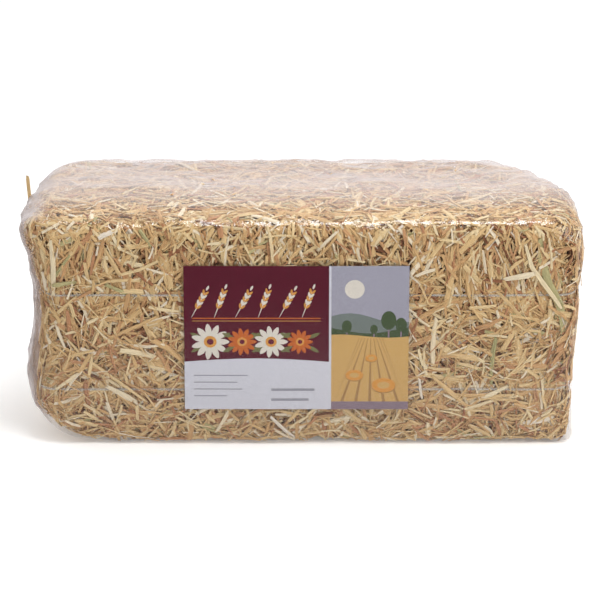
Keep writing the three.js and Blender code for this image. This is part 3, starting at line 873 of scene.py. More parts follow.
@dataclass(frozen=True)
class StrawLayer:
    """The loose straws on one wall of the bale.

    Attributes:
        wall: The wall.
        share: How densely they lie, against the front.
        seed: Start of the fixed random draw.
        proud: How far the highest may stand off the pressed block.
        lift: How much looser it lies than on the front.
        stretch: The part of the wall's first side that it covers, from its low end.
        part: What its name ends in, where a wall has two pieces.
        lie: How the straws lie.
        overhang: How far past the block's edges straws are laid.
        label_margin: How far round the label they are pushed in behind it.
        label_clearance: The gap that they keep behind it.
        band_press: How high a straw may lie under a band.
        band_reach: How near a band's middle a straw counts as under it.
        over_band: The share of the straws that lie over a band.
        floor_clearance: The gap that they keep over the floor.
    """

    wall: Wall
    share: float
    seed: int
    proud: float = 4.0 * MM
    lift: float = 0.0
    stretch: tuple[float, float] = (0.0, 1.0)
    part: str = ""
    lie: StrawLie = StrawLie()
    overhang: float = 5 * MM
    label_margin: float = 2.5 * MM
    label_clearance: float = 0.5 * MM
    band_press: float = 0.1 * MM
    band_reach: float = 3 * MM
    over_band: float = 0.16
    floor_clearance: float = 0.5 * MM

    @property
    def name(self) -> str:
        """The piece's name."""
        return f"loose_straw_{self.wall.name.lower()}{self.part}"

    def lay(self, block: RoundForm) -> bpy.types.Object:
        """Lays the wall's straws on the block.

        Args:
            block: The pressed block's surface.

        Returns:
            One piece of all of them.
        """
        draw = np.random.default_rng(self.seed)
        parts = []
        first = 0
        for cut in CUTS:
            strips = self._strips(cut, block, draw)
            part = strips.loft(first)
            first += len(part[0])
            parts.append(part)
        places = np.concatenate([part[0] for part in parts])
        places = self._kept_clear(places)
        faces = [array for part in parts for array in part[1]]
        maps = np.concatenate([part[2] for part in parts])
        tones = np.concatenate([part[3] for part in parts])
        return joined_mesh(self.name, places, faces, maps, tones)

    def _strips(self, cut: Cut, block: RoundForm, draw: np.random.Generator) -> StrawStrips:
        """Places the straws of one cut.

        Args:
            cut: The sort of straw.
            block: The pressed block's surface.
            draw: The wall's random draw.

        Returns:
            The placed straws.
        """
        lie = self.lie
        axis, side = self.wall.value
        low, high = (np.array(corner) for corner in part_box(BLOCK))
        u, v = [other for other in range(3) if other != axis]
        low, high = low - self.overhang, high + self.overhang
        size = high - low
        start, end = (low[u] + share * size[u] for share in self.stretch)
        square_cm = (end - start) * size[v] / (10 * MM) ** 2
        count = int(square_cm * cut.per_square_cm * self.share)
        centres = np.zeros((count, 3))
        centres[:, axis] = high[axis] if side > 0 else low[axis]
        centres[:, u] = draw.uniform(start, end, count)
        centres[:, v] = draw.uniform(low[v], high[v], count)
        angles = lie.angles(self.wall, centres, high[2], draw)
        short, long = cut.lengths
        lengths = short + (long - short) * draw.beta(*lie.length_skew, count)
        shares = np.linspace(-0.5, 0.5, cut.stations)
        along = lengths[:, None] * shares
        bend = draw.normal(0, lie.curve, count)[:, None] * along * 4 * shares
        targets = np.repeat(centres[:, None], cut.stations, axis=1)
        cosine = np.cos(angles)[:, None]
        sine = np.sin(angles)[:, None]
        targets[..., u] += along * cosine - bend * sine
        targets[..., v] += along * sine + bend * cosine
        flat = targets.reshape(-1, 3)
        distances, outward = block.reach(flat)
        feet, rays = block.rays(flat)
        distances = np.where(np.isnan(distances), block.inset, distances)
        surface = (feet + rays * distances[:, None]).reshape(targets.shape)
        ups = unit(outward + rays).reshape(targets.shape)
        deep, high_up = cut.depths
        depth = deep + (high_up - deep) * draw.beta(*lie.depth_skew, count)
        tilt = np.tan(draw.normal(0, lie.tilt, count))
        bow = draw.normal(0, lie.bow, count)[:, None] * (1 - (2 * shares) ** 2)
        heights = self.lift + depth[:, None] + tilt[:, None] * along + bow
        heights = self._pressed(heights, targets, draw)
        heights = np.minimum(heights, self.proud - cut.thickness)
        surface = surface + ups * heights[..., None]
        ends = draw.uniform(lie.narrow_end, 1.0, (2, count))
        taper = np.ones((count, cut.stations))
        taper[:, 0] = ends[0]
        taper[:, -1] = ends[1]
        widths = draw.uniform(*cut.widths, count)[:, None] * taper
        tones = lie.tones(depth, draw)
        rolls = draw.normal(0, lie.roll, count)
        skews = draw.normal(0, lie.skew, (2, count))
        return StrawStrips(cut, surface, ups, widths, tones, rolls, skews)

    def _pressed(self, heights: Points, targets: Points, draw: np.random.Generator) -> Points:
        """Presses down the straws that the bands cross, all but a few.

        Args:
            heights: Height of each station over the block.
            targets: Places of the stations before they are laid.
            draw: The wall's random draw.

        Returns:
            The heights, pressed.
        """
        over = draw.random(len(heights)) < self.over_band
        if self.wall in (Wall.TOP, Wall.BOTTOM):
            return heights
        thickest_fibre = CUTS[1].thickness
        for band in BANDS:
            low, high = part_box(band)
            middle = (low.z + high.z) / 2
            crossed = ((targets[..., 2].min(axis=1) < middle + self.band_reach)
                       & (targets[..., 2].max(axis=1) > middle - self.band_reach) & ~over)
            capped = np.minimum(heights, self.band_press - thickest_fibre)
            heights = np.where(crossed[:, None], capped, heights)
        return heights

    def _kept_clear(self, places: Points) -> Points:
        """Keeps the straws behind the label and off the floor.

        Args:
            places: All vertices of the wall's straws.

        Returns:
            The same vertices, some pushed in.
        """
        low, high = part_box(LABEL)
        margin = self.label_margin
        behind = ((places[:, 0] > low.x - margin) & (places[:, 0] < high.x + margin)
                  & (places[:, 2] > low.z - margin) & (places[:, 2] < high.z + margin)
                  & (places[:, 1] < 0))
        limit = high.y + self.label_clearance
        places[:, 1] = np.where(behind, np.maximum(places[:, 1], limit), places[:, 1])
        places[:, 2] = np.maximum(places[:, 2], self.floor_clearance)
        return places


@dataclass(frozen=True)
class PressedCore:
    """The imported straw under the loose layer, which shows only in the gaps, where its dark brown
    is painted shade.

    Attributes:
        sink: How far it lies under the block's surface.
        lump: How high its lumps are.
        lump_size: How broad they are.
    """

    sink: float = 4.8 * MM
    lump: float = 2.2 * MM
    lump_size: float = 14 * MM

    def build(self) -> bpy.types.Object:
        """Shrinks a copy of the block and roughens it.

        Returns:
            The core.
        """
        core = merged_copy(BLOCK, "pressed_core")
        with editing(core):
            bpy.ops.mesh.subdivide(number_cuts=2)
        core.modifiers.new("sink", "DISPLACE").strength = -self.sink
        core.modifiers["sink"].mid_level = 0.0
        lumps = core.modifiers.new("lumps", "DISPLACE")
        lumps.texture = bpy.data.textures.new("chaff_lumps", "CLOUDS")
        lumps.texture.noise_scale = self.lump_size
        lumps.strength = self.lump
        apply_modifiers(core)
        # Its finish is painted shade for the gaps between the loose straws.
        return dress(core, (BLOCK,), [PaintedGapShade().material()])


SLOT_TONES = {"straw": (0.5, 0.72), "straw_pale": (0.8, 0.89), "straw_green": (0.94, 0.99)}


@dataclass(frozen=True)
class LongStalk:
    """One of the single stalks or blades that lie on the bale, modelled round its CAD solid:
    a split stalk with rolled edges, grooves along it and ragged ends.

    Attributes:
        node: Its CAD node.
        slot: The record's material slot.
        seed: Start of its fixed random draw.
        stations: How many outlines it has along its length.
        across: How many points each outline has across its skin.
        thickness: How thick it is.
        groove_depth: How deep the grooves are.
        ragged: How far its end points stand out or back.
        narrowing: The most that an end narrows, against its width.
        curls: How much its skin curls over, least and most.
        hollow: How thick it is at its rims, and how much thicker in its middle.
        end_share: The share of its length at which the last cut is made.
        end_reach: How far past that the end is carried, against a step.
        crease: Degrees past which two faces meet in a sharp edge.
    """

    node: str
    slot: str
    seed: int
    stations: int = 18
    across: int = 9
    thickness: float = 0.85 * MM
    groove_depth: float = 0.1 * MM
    ragged: float = 1.8 * MM
    narrowing: float = 0.25
    curls: tuple[float, float] = (0.25, 0.6)
    hollow: tuple[float, float] = (0.35, 0.4)
    end_share: float = 0.03
    end_reach: float = 0.8
    crease: float = 38.0

    def slices(self) -> tuple[Points, Points, Points]:
        """Cuts the CAD solid across at even steps along it.

        Returns:
            The middle, the half-width vector and the share along, of each cut.
        """
        mesh = frame["nodes"][self.node].data
        mesh.calc_loop_triangles()
        places = vertex_places(mesh)
        faces = np.array([tuple(face.vertices) for face in mesh.loop_triangles])
        edges = np.concatenate([faces[:, [0, 1]], faces[:, [1, 2]], faces[:, [2, 0]]])
        middle = places.mean(axis=0)
        axis = np.linalg.svd(places - middle, full_matrices=False)[2][0]
        heights = (places - middle) @ axis
        span = heights.max() - heights.min()
        shares = np.linspace(0.0, 1.0, self.stations)
        middles, halves = [], []
        for share in np.clip(shares, self.end_share, 1 - self.end_share):
            level = heights.min() + share * span
            a, b = heights[edges[:, 0]] - level, heights[edges[:, 1]] - level
            crossing = a * b < 0
            fraction = (a / (a - b))[crossing][:, None]
            first, second = places[edges[crossing, 0]], places[edges[crossing, 1]]
            ring = first + (second - first) * fraction
            centre = (ring.min(axis=0) + ring.max(axis=0)) / 2
            side = np.linalg.svd(ring - ring.mean(axis=0), full_matrices=False)[2][0]
            width = np.ptp((ring - centre) @ side)
            middles.append(centre)
            halves.append(side * width / 2)
        middles = np.array(middles)
        middles[0] += (middles[0] - middles[1]) * self.end_reach
        middles[-1] += (middles[-1] - middles[-2]) * self.end_reach
        return middles, np.array(halves), shares

    def build(self, straw: bpy.types.Material) -> bpy.types.Object:
        """Models the stalk.

        Args:
            straw: The straw's finish.

        Returns:
            The stalk.
        """
        draw = np.random.default_rng(self.seed)
        middles, halves, shares = self.slices()
        centre = np.array([0.0, 0.0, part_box(BLOCK)[1].z / 2])
        for index in range(1, len(halves)):
            if halves[index] @ halves[index - 1] < 0:
                halves[index] *= -1
        outs = unit(np.cross(halves, np.gradient(middles, axis=0)))
        flip = np.sign(np.einsum("ij,ij->i", outs, middles - centre))
        if flip.sum() < 0:
            halves = -halves
            outs = -outs
        profile = self._profile(draw)
        ragged = draw.uniform(-1, 1, (2, len(profile))) * self.ragged
        rings = []
        for index in range(self.stations):
            towards_end = abs(2 * shares[index] - 1) ** 6
            scale = 1 - self.narrowing * towards_end * draw.random()
            ring = (middles[index] + halves[index] * scale * profile[:, :1]
                    + outs[index] * profile[:, 1:])
            rings.append(ring)
        rings = np.array(rings)
        rings[0] += unit(middles[1] - middles[0]) * ragged[0][:, None]
        rings[-1] += unit(middles[-1] - middles[-2]) * ragged[1][:, None]
        corners = len(profile)
        numbers = np.arange(self.stations * corners).reshape(self.stations, corners)
        skin = tube_faces(numbers)
        if signed_volume(rings.reshape(-1, 3), skin) < 0:
            skin = skin[:, ::-1]
            ends = [numbers[:1, ::-1], numbers[-1:]]
        else:
            ends = [numbers[:1], numbers[-1:, ::-1]]
        length = np.linalg.norm(middles[-1] - middles[0])
        maps = np.stack(np.broadcast_arrays(shares[:, None] * length,
                                            profile[None, :, 0] * np.linalg.norm(halves[0])),
                        axis=-1).reshape(-1, 2)
        tones = np.full(len(maps), draw.uniform(*SLOT_TONES[self.slot]))
        piece = joined_mesh(f"long_{self.node}", rings.reshape(-1, 3), [skin, *ends], maps, tones)
        make_active(piece)
        bpy.ops.object.shade_smooth_by_angle(angle=math.radians(self.crease))
        return dress(piece, (self.node,), [straw])

    def _profile(self, draw: np.random.Generator) -> Points:
        """Draws the outline across: a curled and grooved skin, hollow underneath.

        Args:
            draw: The stalk's random draw.

        Returns:
            Places across, as shares of half the width, and heights in metres.
        """
        across = np.linspace(-1, 1, self.across)
        rim = 1 - across ** 2
        grooves = self.groove_depth * draw.uniform(-1, 1, self.across)
        curl = draw.uniform(*self.curls)
        edge, middle = self.hollow
        upper = (rim ** 0.5 * curl + (1 - curl) * (rim > 0)) * self.thickness / 2
        lower = upper - self.thickness * (edge + middle * rim)
        return np.concatenate([
            np.stack([across, upper + grooves * (rim > 0)], axis=1),
            np.stack([across[::-1], lower[::-1] * (rim > 0)], axis=1)[1:-1]])


def signed_volume(places: Points, faces: Points) -> float:
    """Measures a closed skin's volume, which is below 0 where its faces point inwards.

    Args:
        places: The vertices.
        faces: Its quads.

    Returns:
        The volume without its two end caps, near enough for the sign.
    """
    middle = places.mean(axis=0)
    a, b, c, d = (places[faces[:, corner]] - middle for corner in range(4))
    first = np.einsum("ij,ij->i", a, np.cross(b, c)).sum()
    second = np.einsum("ij,ij->i", a, np.cross(c, d)).sum()
    return float(first + second)


@dataclass(frozen=True)
class StrapSet:
    """The two clear bands that hold the bale together.

    Attributes:
        edge_round: The radius of their rolled edges.
        corner: Degrees past which an edge is a corner and gets rolled.
        crease: Degrees past which two faces meet in a sharp edge.
    """

    edge_round: float = 0.22 * MM
    corner: float = 40.0
    crease: float = 50.0

    def build(self) -> list[bpy.types.Object]:
        """Rounds a copy of each band's solid.

        Returns:
            The two bands.
        """
        clear = DrawnStrap().material()
        made = []
        for node in BANDS:
            band = merged_copy(node, f"clear_{node}")
            bevel = band.modifiers.new("rolled_edges", "BEVEL")
            bevel.width = self.edge_round
            bevel.segments = 2
            bevel.limit_method = "ANGLE"
            bevel.angle_limit = math.radians(self.corner)
            apply_modifiers(band)
            bpy.ops.object.shade_smooth_by_angle(angle=math.radians(self.crease))
            made.append(dress(band, (node,), [clear]))
        return made


@dataclass(frozen=True)
class Shape:
    """One printed shape: its ink and its outline in millimetres from the label's low left."""

    ink: Ink
    outline: tuple[tuple[float, float], ...]

    def holds(self, points: Points) -> Points:
        """Tells which points lie inside the outline.

        Args:
            points: Rows of two coordinates.

        Returns:
            True or False for each point.
        """
        inside = np.zeros(len(points), bool)
        corners = np.array(self.outline)
        for (ax, ay), (bx, by) in zip(corners, np.roll(corners, -1, axis=0)):
            if ay == by:
                continue
            crosses = (ay > points[:, 1]) != (by > points[:, 1])
            edge = ax + (points[:, 1] - ay) * (bx - ax) / (by - ay)
            inside ^= crosses & (points[:, 0] < edge)
        return inside


@dataclass
class PrintedLabel:
    """The paper label between the straw and the film. Its print is a plain harvest design:
    wheat ears and rosettes on burgundy, a white foot with plain bars, and a field beside it.
    The design is laid out in millimetres from the label's low left corner.

    Attributes:
        thickness: How thick the paper is.
        wave: How far its waves stand out.
        bow: How far it bows round the straw.
        wave_length: Millimetres across over which a wave turns.
        wave_height: Millimetres up over which a wave turns.
        grid: Millimetres between the sheet's own points, which let it wave.
        panel: The share of the width that the burgundy panel takes.
        foot: The share of the height that the white foot takes.
        gutter: Millimetres of bare paper between the burgundy panel and the picture.
        nearest: Millimetres under which two corners of the print are one.
    """

    thickness: float = 0.22 * MM
    wave: float = 0.25 * MM
    bow: float = 0.5 * MM
    wave_length: float = 21.0
    wave_height: float = 33.0
    grid: float = 3.2
    panel: float = 0.645
    foot: float = 0.335
    gutter: float = 2.2
    nearest: float = 0.01

    def __post_init__(self) -> None:
        """Reads the label's place and size from the frame."""
        self.low, self.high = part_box(LABEL)
        self.width = (self.high.x - self.low.x) / MM
        self.height = (self.high.z - self.low.z) / MM

    @staticmethod
    def away(x: float, y: float, reach: float, turn: float) -> tuple[float, float]:
        """Returns the place at a distance from another, in a direction in degrees."""
        angle = math.radians(turn)
        return x + reach * math.cos(angle), y + reach * math.sin(angle)

    @staticmethod
    def ellipse(ink: Ink, x: float, y: float, long: float, short: float, turn: float = 0.0,
                steps: int = 16) -> Shape:
        """Makes an oval, pointed like a grain where short is less than half of long.

        Args:
            ink: Its ink.
            x: Middle, across.
            y: Middle, up.
            long: Half of its long axis.
            short: Half of its short axis.
            turn: Degrees that the long axis is turned from level.
            steps: How many points it has.

        Returns:
            The shape.
        """
        cosine, sine = math.cos(math.radians(turn)), math.sin(math.radians(turn))
        outline = []
        for step in range(steps):
            angle = 2 * math.pi * step / steps
            a, b = long * math.cos(angle), short * math.sin(angle)
            if short < 0.5 * long:
                b *= abs(math.sin(angle)) ** 0.4
            outline.append((x + a * cosine - b * sine, y + a * sine + b * cosine))
        return Shape(ink, tuple(outline))

    @staticmethod
    def bar(ink: Ink, x: float, y: float, width: float, height: float) -> Shape:
        """Makes an upright rectangle from its low left corner and its size."""
        right, top = x + width, y + height
        return Shape(ink, ((x, y), (right, y), (right, top), (x, top)))

    def wheat_ear(self, x: float, y: float, length: float, turn: float) -> list[Shape]:
        """Draws an ear of wheat in cream and amber.

        Args:
            x: Foot of the ear, across.
            y: Foot of the ear, up.
            length: How long the ear is.
            turn: Degrees that it points up from level.

        Returns:
            Its grains and its stem.
        """
        cosine, sine = math.cos(math.radians(turn)), math.sin(math.radians(turn))
        shapes = [self.ellipse(Ink.CREAM, *self.away(x, y, 0.3 * length, turn), 0.55 * length,
                               0.5, turn, 10)]
        for pair in range(5):
            reach = (0.25 + 0.14 * pair) * length
            for side in (-1, 1):
                angle = turn + side * 26
                gx = x + reach * cosine + side * -0.055 * length * sine
                gy = y + reach * sine + side * 0.055 * length * cosine
                ink = Ink.CREAM if pair % 2 else Ink.AMBER
                shapes.append(self.ellipse(ink, gx, gy, 0.105 * length, 0.042 * length, angle, 12))
        shapes.append(self.ellipse(Ink.CREAM, *self.away(x, y, length, turn), 0.1 * length,
                                   0.04 * length, turn, 12))
        return shapes

    def rosette(self, ink: Ink, x: float, y: float, radius: float, petals: int) -> list[Shape]:
        """Draws a round flower head.

        Args:
            ink: The petals' ink.
            x: Middle, across.
            y: Middle, up.
            radius: Its outer radius.
            petals: How many petals.

        Returns:
            Its petals and its middle.
        """
        shapes = []
        for petal in range(petals):
            turn = 360 * petal / petals
            shapes.append(self.ellipse(ink, *self.away(x, y, 0.62 * radius, turn),
                                       0.4 * radius, 0.17 * radius, turn, 10))
        return [*shapes, self.ellipse(Ink.AMBER, x, y, 0.34 * radius, 0.33 * radius),
                self.ellipse(Ink.PLUM, x, y, 0.18 * radius, 0.17 * radius)]

    def design(self) -> list[Shape]:
        """Lays out the print, each shape over those before it.

        Returns:
            The shapes.
        """
        width, height = self.width, self.height
        panel, foot = self.panel * width, self.foot * height
        hem = [(panel * share, foot + 3.5 * math.sin(math.pi * share))
               for share in np.linspace(0, 1, 9)]
        shapes = [self.bar(Ink.PAPER, 0, 0, width, height),
                  Shape(Ink.BURGUNDY, ((0, height), *hem, (panel, height)))]
        for index, x in enumerate(np.linspace(10, panel - 24, 6)):
            shapes += self.wheat_ear(x, 0.68 * height, 0.19 * height, 62 + 8 * (index % 2))
        shapes += [self.bar(Ink.ORANGE, 8, 0.635 * height, panel - 16, 1.1),
                   self.bar(Ink.AMBER, 8, 0.618 * height, panel - 16, 0.6)]
        for ink, share, radius in ((Ink.CREAM, 0.18, 0.125), (Ink.ORANGE, 0.4, 0.095),
                                   (Ink.CREAM, 0.6, 0.11), (Ink.ORANGE, 0.8, 0.085)):
            middle = share * panel, 0.475 * height
            shapes += [self.ellipse(Ink.LEAF, *self.away(*middle, 0.1 * height, turn), 6.5, 1.9,
                                    turn, 12) for turn in (-150, -30, 25, 155)]
            shapes += self.rosette(ink, *middle, radius * height, 11)
        for row, share in enumerate((0.62, 0.5, 0.56, 0.38)):
            shapes.append(self.bar(Ink.GREY, 9, (0.235 - 0.048 * row) * height,
                                   share * 0.6 * panel, 1.1))
        for row, share in enumerate((0.3, 0.26)):
            shapes.append(self.bar(Ink.GREY, 0.6 * panel, (0.13 - 0.07 * row) * height,
                                   share * panel, 2.6))
        return shapes + self.field_picture(panel + self.gutter)

    def field_picture(self, left: float) -> list[Shape]:
        """Draws the picture panel: sky, sun, hills, trees and a stubble field in rows.

        Args:
            left: Where the panel begins, across.

        Returns:
            Its shapes.
        """
        width, height = self.width, self.height
        span = width - left

        def hills(ink: Ink, level: float, swell: float, phase: float) -> Shape:
            """Fills the panel up to a rolling line.

            Args:
                ink: Its ink.
                level: How high the line is, as a share of the height.
                swell: How far it rolls up and down.
                phase: Where along its roll it begins.

            Returns:
                The shape.
            """
            line = [(left + span * share, (level + swell * math.sin(5 * share + phase)) * height)
                    for share in np.linspace(1, 0, 9)]
            return Shape(ink, ((left, 0), (width, 0), *line))

        shapes = [self.bar(Ink.SKY, left, 0, span, height),
                  self.ellipse(Ink.CREAM, left + 0.3 * span, 0.84 * height, 9.5, 9.4, 0, 24),
                  hills(Ink.HILL, 0.64, 0.035, 0.4), hills(Ink.TREE, 0.555, 0.022, 2.3)]
        for x, size in ((0.2, 8), (0.74, 12), (0.9, 9), (0.55, 6)):
            shapes.append(self.bar(Ink.EARTH, left + x * span - 0.8, 0.5 * height, 1.6, size))
            shapes.append(self.ellipse(Ink.TREE, left + x * span, 0.5 * height + 1.5 * size,
                                       0.62 * size, 0.8 * size, 0, 14))
        shapes.append(hills(Ink.FIELD, 0.515, 0.012, 1.0))
        for row in range(9):
            bottom = left + span * (row / 8 * 1.6 - 0.3)
            top = left + span * (0.36 + 0.3 * row / 8)
            line = ((bottom - 1.6, 0.0), (bottom + 1.6, 0.0), (top + 0.25, 0.5 * height),
                    (top - 0.25, 0.5 * height))
            shapes.append(Shape(Ink.FURROW, tuple((min(max(x, left), width), y)
                                                  for x, y in line)))
        for x, y, size in ((0.3, 0.24, 9), (0.68, 0.17, 12), (0.52, 0.36, 6)):
            for ink, drop, long, short, steps in (
                    (Ink.FURROW, 0.6, 1.0, 0.66, 20), (Ink.AMBER, 0.0, 0.96, 0.62, 20),
                    (Ink.FIELD, 0.0, 0.5, 0.3, 14)):
                shapes.append(self.ellipse(ink, left + x * span, y * height - drop, long * size,
                                           short * size, 0, steps))
        return [*shapes, self.bar(Ink.EARTH, left, 0, span, 0.055 * height)]

    def build(self) -> bpy.types.Object:
        """Cuts the sheet along the outlines of its print and gives it its bow and thickness.

        Returns:
            The label.
        """
        shapes = self.design()
        places = []
        edges = []
        for shape in shapes:
            first = len(places)
            count = len(shape.outline)
            places += [Vector(corner) for corner in shape.outline]
            edges += [(first + i, first + (i + 1) % count) for i in range(count)]
        for x in np.arange(self.grid, self.width, self.grid):
            places += [Vector((x, y)) for y in np.arange(self.grid, self.height, self.grid)]
        flat, _, faces, *_ = delaunay_2d_cdt(places, edges, [], 0, self.nearest)
        flat = np.array([tuple(place) for place in flat])
        faces = np.array(faces)
        middles = flat[faces].mean(axis=1)
        inks = np.zeros(len(faces), int)
        order = list(Ink)
        for shape in shapes:
            inks[shape.holds(middles)] = order.index(shape.ink)
        across = flat[:, 0] / self.width - 0.5
        wave = np.sin(flat[:, 0] / self.wave_length + 0.6) * np.cos(flat[:, 1] / self.wave_height)
        depth = self.high.y - self.bow * (1 + np.cos(math.pi * across)) + self.wave * wave
        points = np.stack([self.low.x + flat[:, 0] * MM, depth, self.low.z + flat[:, 1] * MM],
                          axis=1)
        mesh = bpy.data.meshes.new("printed_label")
        mesh.from_pydata(points.tolist(), [], faces.tolist())
        mesh.polygons.foreach_set("material_index", inks.astype(np.int32))
        label = bpy.data.objects.new("printed_label", mesh)
        bpy.context.scene.collection.objects.link(label)
        with editing(label):
            bpy.ops.mesh.normals_make_consistent(inside=False)
        if mesh.polygons[0].normal.y > 0:
            mesh.flip_normals()
        sheet = label.modifiers.new("paper", "SOLIDIFY")
        sheet.thickness = self.thickness
        sheet.offset = -1
        apply_modifiers(label)
        return dress(label, (LABEL,),
                     [PrintedPaper(ink).material() for ink in order])


@dataclass(frozen=True)
class Fold:
    """One sort of fold in the film.

    Attributes:
        grain: How far apart they are.
        squeeze: Below 1 where they are drawn out along X.
        offset: Which part of the noise they read.
        depth: How deep they go where the film is tight.
        slack: How much deeper where it is slack.
        ridge: How much deeper on the ridge along the top at the back.
    """

    grain: float
    squeeze: float
    offset: float
    depth: float
    slack: float
    ridge: float = 0.0


FOLDS = (
    Fold(12 * MM, 0.25, 5.0, 0.225 * MM, 0.9 * MM),
    Fold(22 * MM, 1.0, 21.0, 0.0, 3.0 * MM),
    Fold(9 * MM, 1.0, 40.0, 0.0, 0.7 * MM),
    Fold(34 * MM, 0.7, 9.0, 1.6 * MM, 2.4 * MM, 8.0 * MM),
)


@dataclass
class FilmWrap:
    """The shrink film round the whole bale: drawn tight over the straws on the long walls,
    puffed out and crinkled at the ends, torn where one straw pokes through.

    Attributes:
        block: The pressed block's surface, for its inner box.
        cell: The size of the film's mesh cells.
        thickness: How thick the film is drawn.
        clearance: The gap that it keeps over the straws.
        beside_drop: How much lower it may lie a cell away from a straw.
        sag_steps: How many steps it takes to come to rest.
        sag: How far it sinks in each step where nothing holds it.
        follow: How far a place moves to its neighbours' mean in each step.
        held_up: The share of places where trapped air holds it out.
        even_steps: How many times it is evened out afterwards.
        bulge: How far past the CAD film it may stand.
        samples: The shares along a long edge that are read besides its ends.
        slack_left: Where it turns slack at the left, against the block's end.
        slack_right: Where it turns slack at the right, against the block's end.
        ridge_back: Where the ridge begins and is full, towards the back.
        ridge_top: Where the ridge begins and is full, upwards.
        tear_radius: The size of the tear.
        tear_along: Where the tear is on the poking straw, as shares of its box.
    """

    block: RoundForm
    cell: float = 3.5 * MM
    thickness: float = 0.16 * MM
    clearance: float = 0.4 * MM
    beside_drop: float = 0.7 * MM
    sag_steps: int = 70
    sag: float = 0.035 * MM
    follow: float = 0.75
    held_up: float = 0.014
    even_steps: int = 4
    bulge: float = 1.0 * MM
    samples: tuple[float, ...] = (0.2, 0.4, 0.6, 0.8)
    slack_left: tuple[float, float] = (-16 * MM, 26 * MM)
    slack_right: tuple[float, float] = (-22 * MM, 14 * MM)
    ridge_back: tuple[float, float] = (30 * MM, 90 * MM)
    ridge_top: tuple[float, float] = (150 * MM, 215 * MM)
    tear_radius: float = 5.0 * MM
    tear_along: tuple[float, float] = (0.36, 0.64)

    def __post_init__(self) -> None:
        """Reads the CAD film."""
        self.outer = RoundForm(FILM)
        low, high = (np.array(corner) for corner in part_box(FILM))
        self.low, self.high = low, high
        self.counts = np.ceil((high - low) / self.cell).astype(int)

    def lattice(self) -> bpy.types.Object:
        """Makes a box of small cells at the film's size.

        Returns:
            The box.
        """
        deselect_all()
        bpy.ops.mesh.primitive_cube_add(size=1, location=tuple((self.low + self.high) / 2),
                                        scale=tuple(self.high - self.low))
        box = bpy.context.object
        box.name = "shrink_film"
        box.data.name = "shrink_film"
        bpy.ops.object.transform_apply(location=True, rotation=True, scale=True)
        for axis in range(3):
            bpy.ops.object.mode_set(mode="EDIT")
            bpy.ops.mesh.select_mode(type="EDGE")
            bpy.ops.mesh.select_all(action="DESELECT")
            bpy.ops.object.mode_set(mode="OBJECT")
            places = vertex_places(box.data)
            for edge in box.data.edges:
                a, b = (places[number] for number in edge.vertices)
                edge.select = bool(abs(a[axis] - b[axis]) > 0.5 * self.cell
                                   and np.abs(np.delete(a - b, axis)).max() < 1e-6)
            bpy.ops.object.mode_set(mode="EDIT")
            bpy.ops.mesh.subdivide(number_cuts=int(self.counts[axis]) - 1)
        bpy.ops.mesh.select_all(action="SELECT")
        bpy.ops.mesh.select_mode(type="VERT")
        bpy.ops.object.mode_set(mode="OBJECT")
        return box

    def obstacles(self, places: Points, pieces: list[bpy.types.Object]) -> Points:
        """Finds how far each ray of the lattice has to reach to clear the pieces.

        Args:
            places: The lattice's vertices on the box.
            pieces: What the film lies on.

        Returns:
            The distance from the inner box, 0 where nothing lies.
        """
        size = (self.high - self.low) / self.counts
        cell = np.rint((places - self.low) / size).astype(int)
        number = np.full(tuple(self.counts + 1), -1)
        number[tuple(cell.T)] = np.arange(len(places))
        needed = np.zeros(len(places))
        for piece in pieces:
            tips = self._sampled(piece.data)
            feet, rays = self.block.rays(tips)
            length = np.linalg.norm(tips - feet, axis=1)
            with np.errstate(divide="ignore", invalid="ignore"):
                to_wall = np.where(rays > 0, self.high - feet, self.low - feet) / rays
            to_wall = np.where(np.abs(rays) < 1e-9, np.inf, to_wall).min(axis=1)
            hit = feet + rays * to_wall[:, None]
            where = np.rint((hit - self.low) / size).astype(int)
            where = np.clip(where, 0, self.counts)
            found = number[tuple(where.T)]
            known = found >= 0
            np.maximum.at(needed, found[known], length[known])
        return needed

    def _sampled(self, mesh: bpy.types.Mesh) -> Points:
        """Takes a mesh's vertices, and places along its long edges that a cell could miss.

        Args:
            mesh: The mesh of a straw layer, a stalk, a band or the label.

        Returns:
            The places.
        """
        places = vertex_places(mesh)
        ends = np.empty(len(mesh.edges) * 2, np.int32)
        mesh.edges.foreach_get("vertices", ends)
        first, last = places[ends[0::2]], places[ends[1::2]]
        far = np.linalg.norm(last - first, axis=1) > self.cell
        first, last = first[far], last[far]
        between = [first + (last - first) * share for share in self.samples]
        return np.concatenate([places, *between])

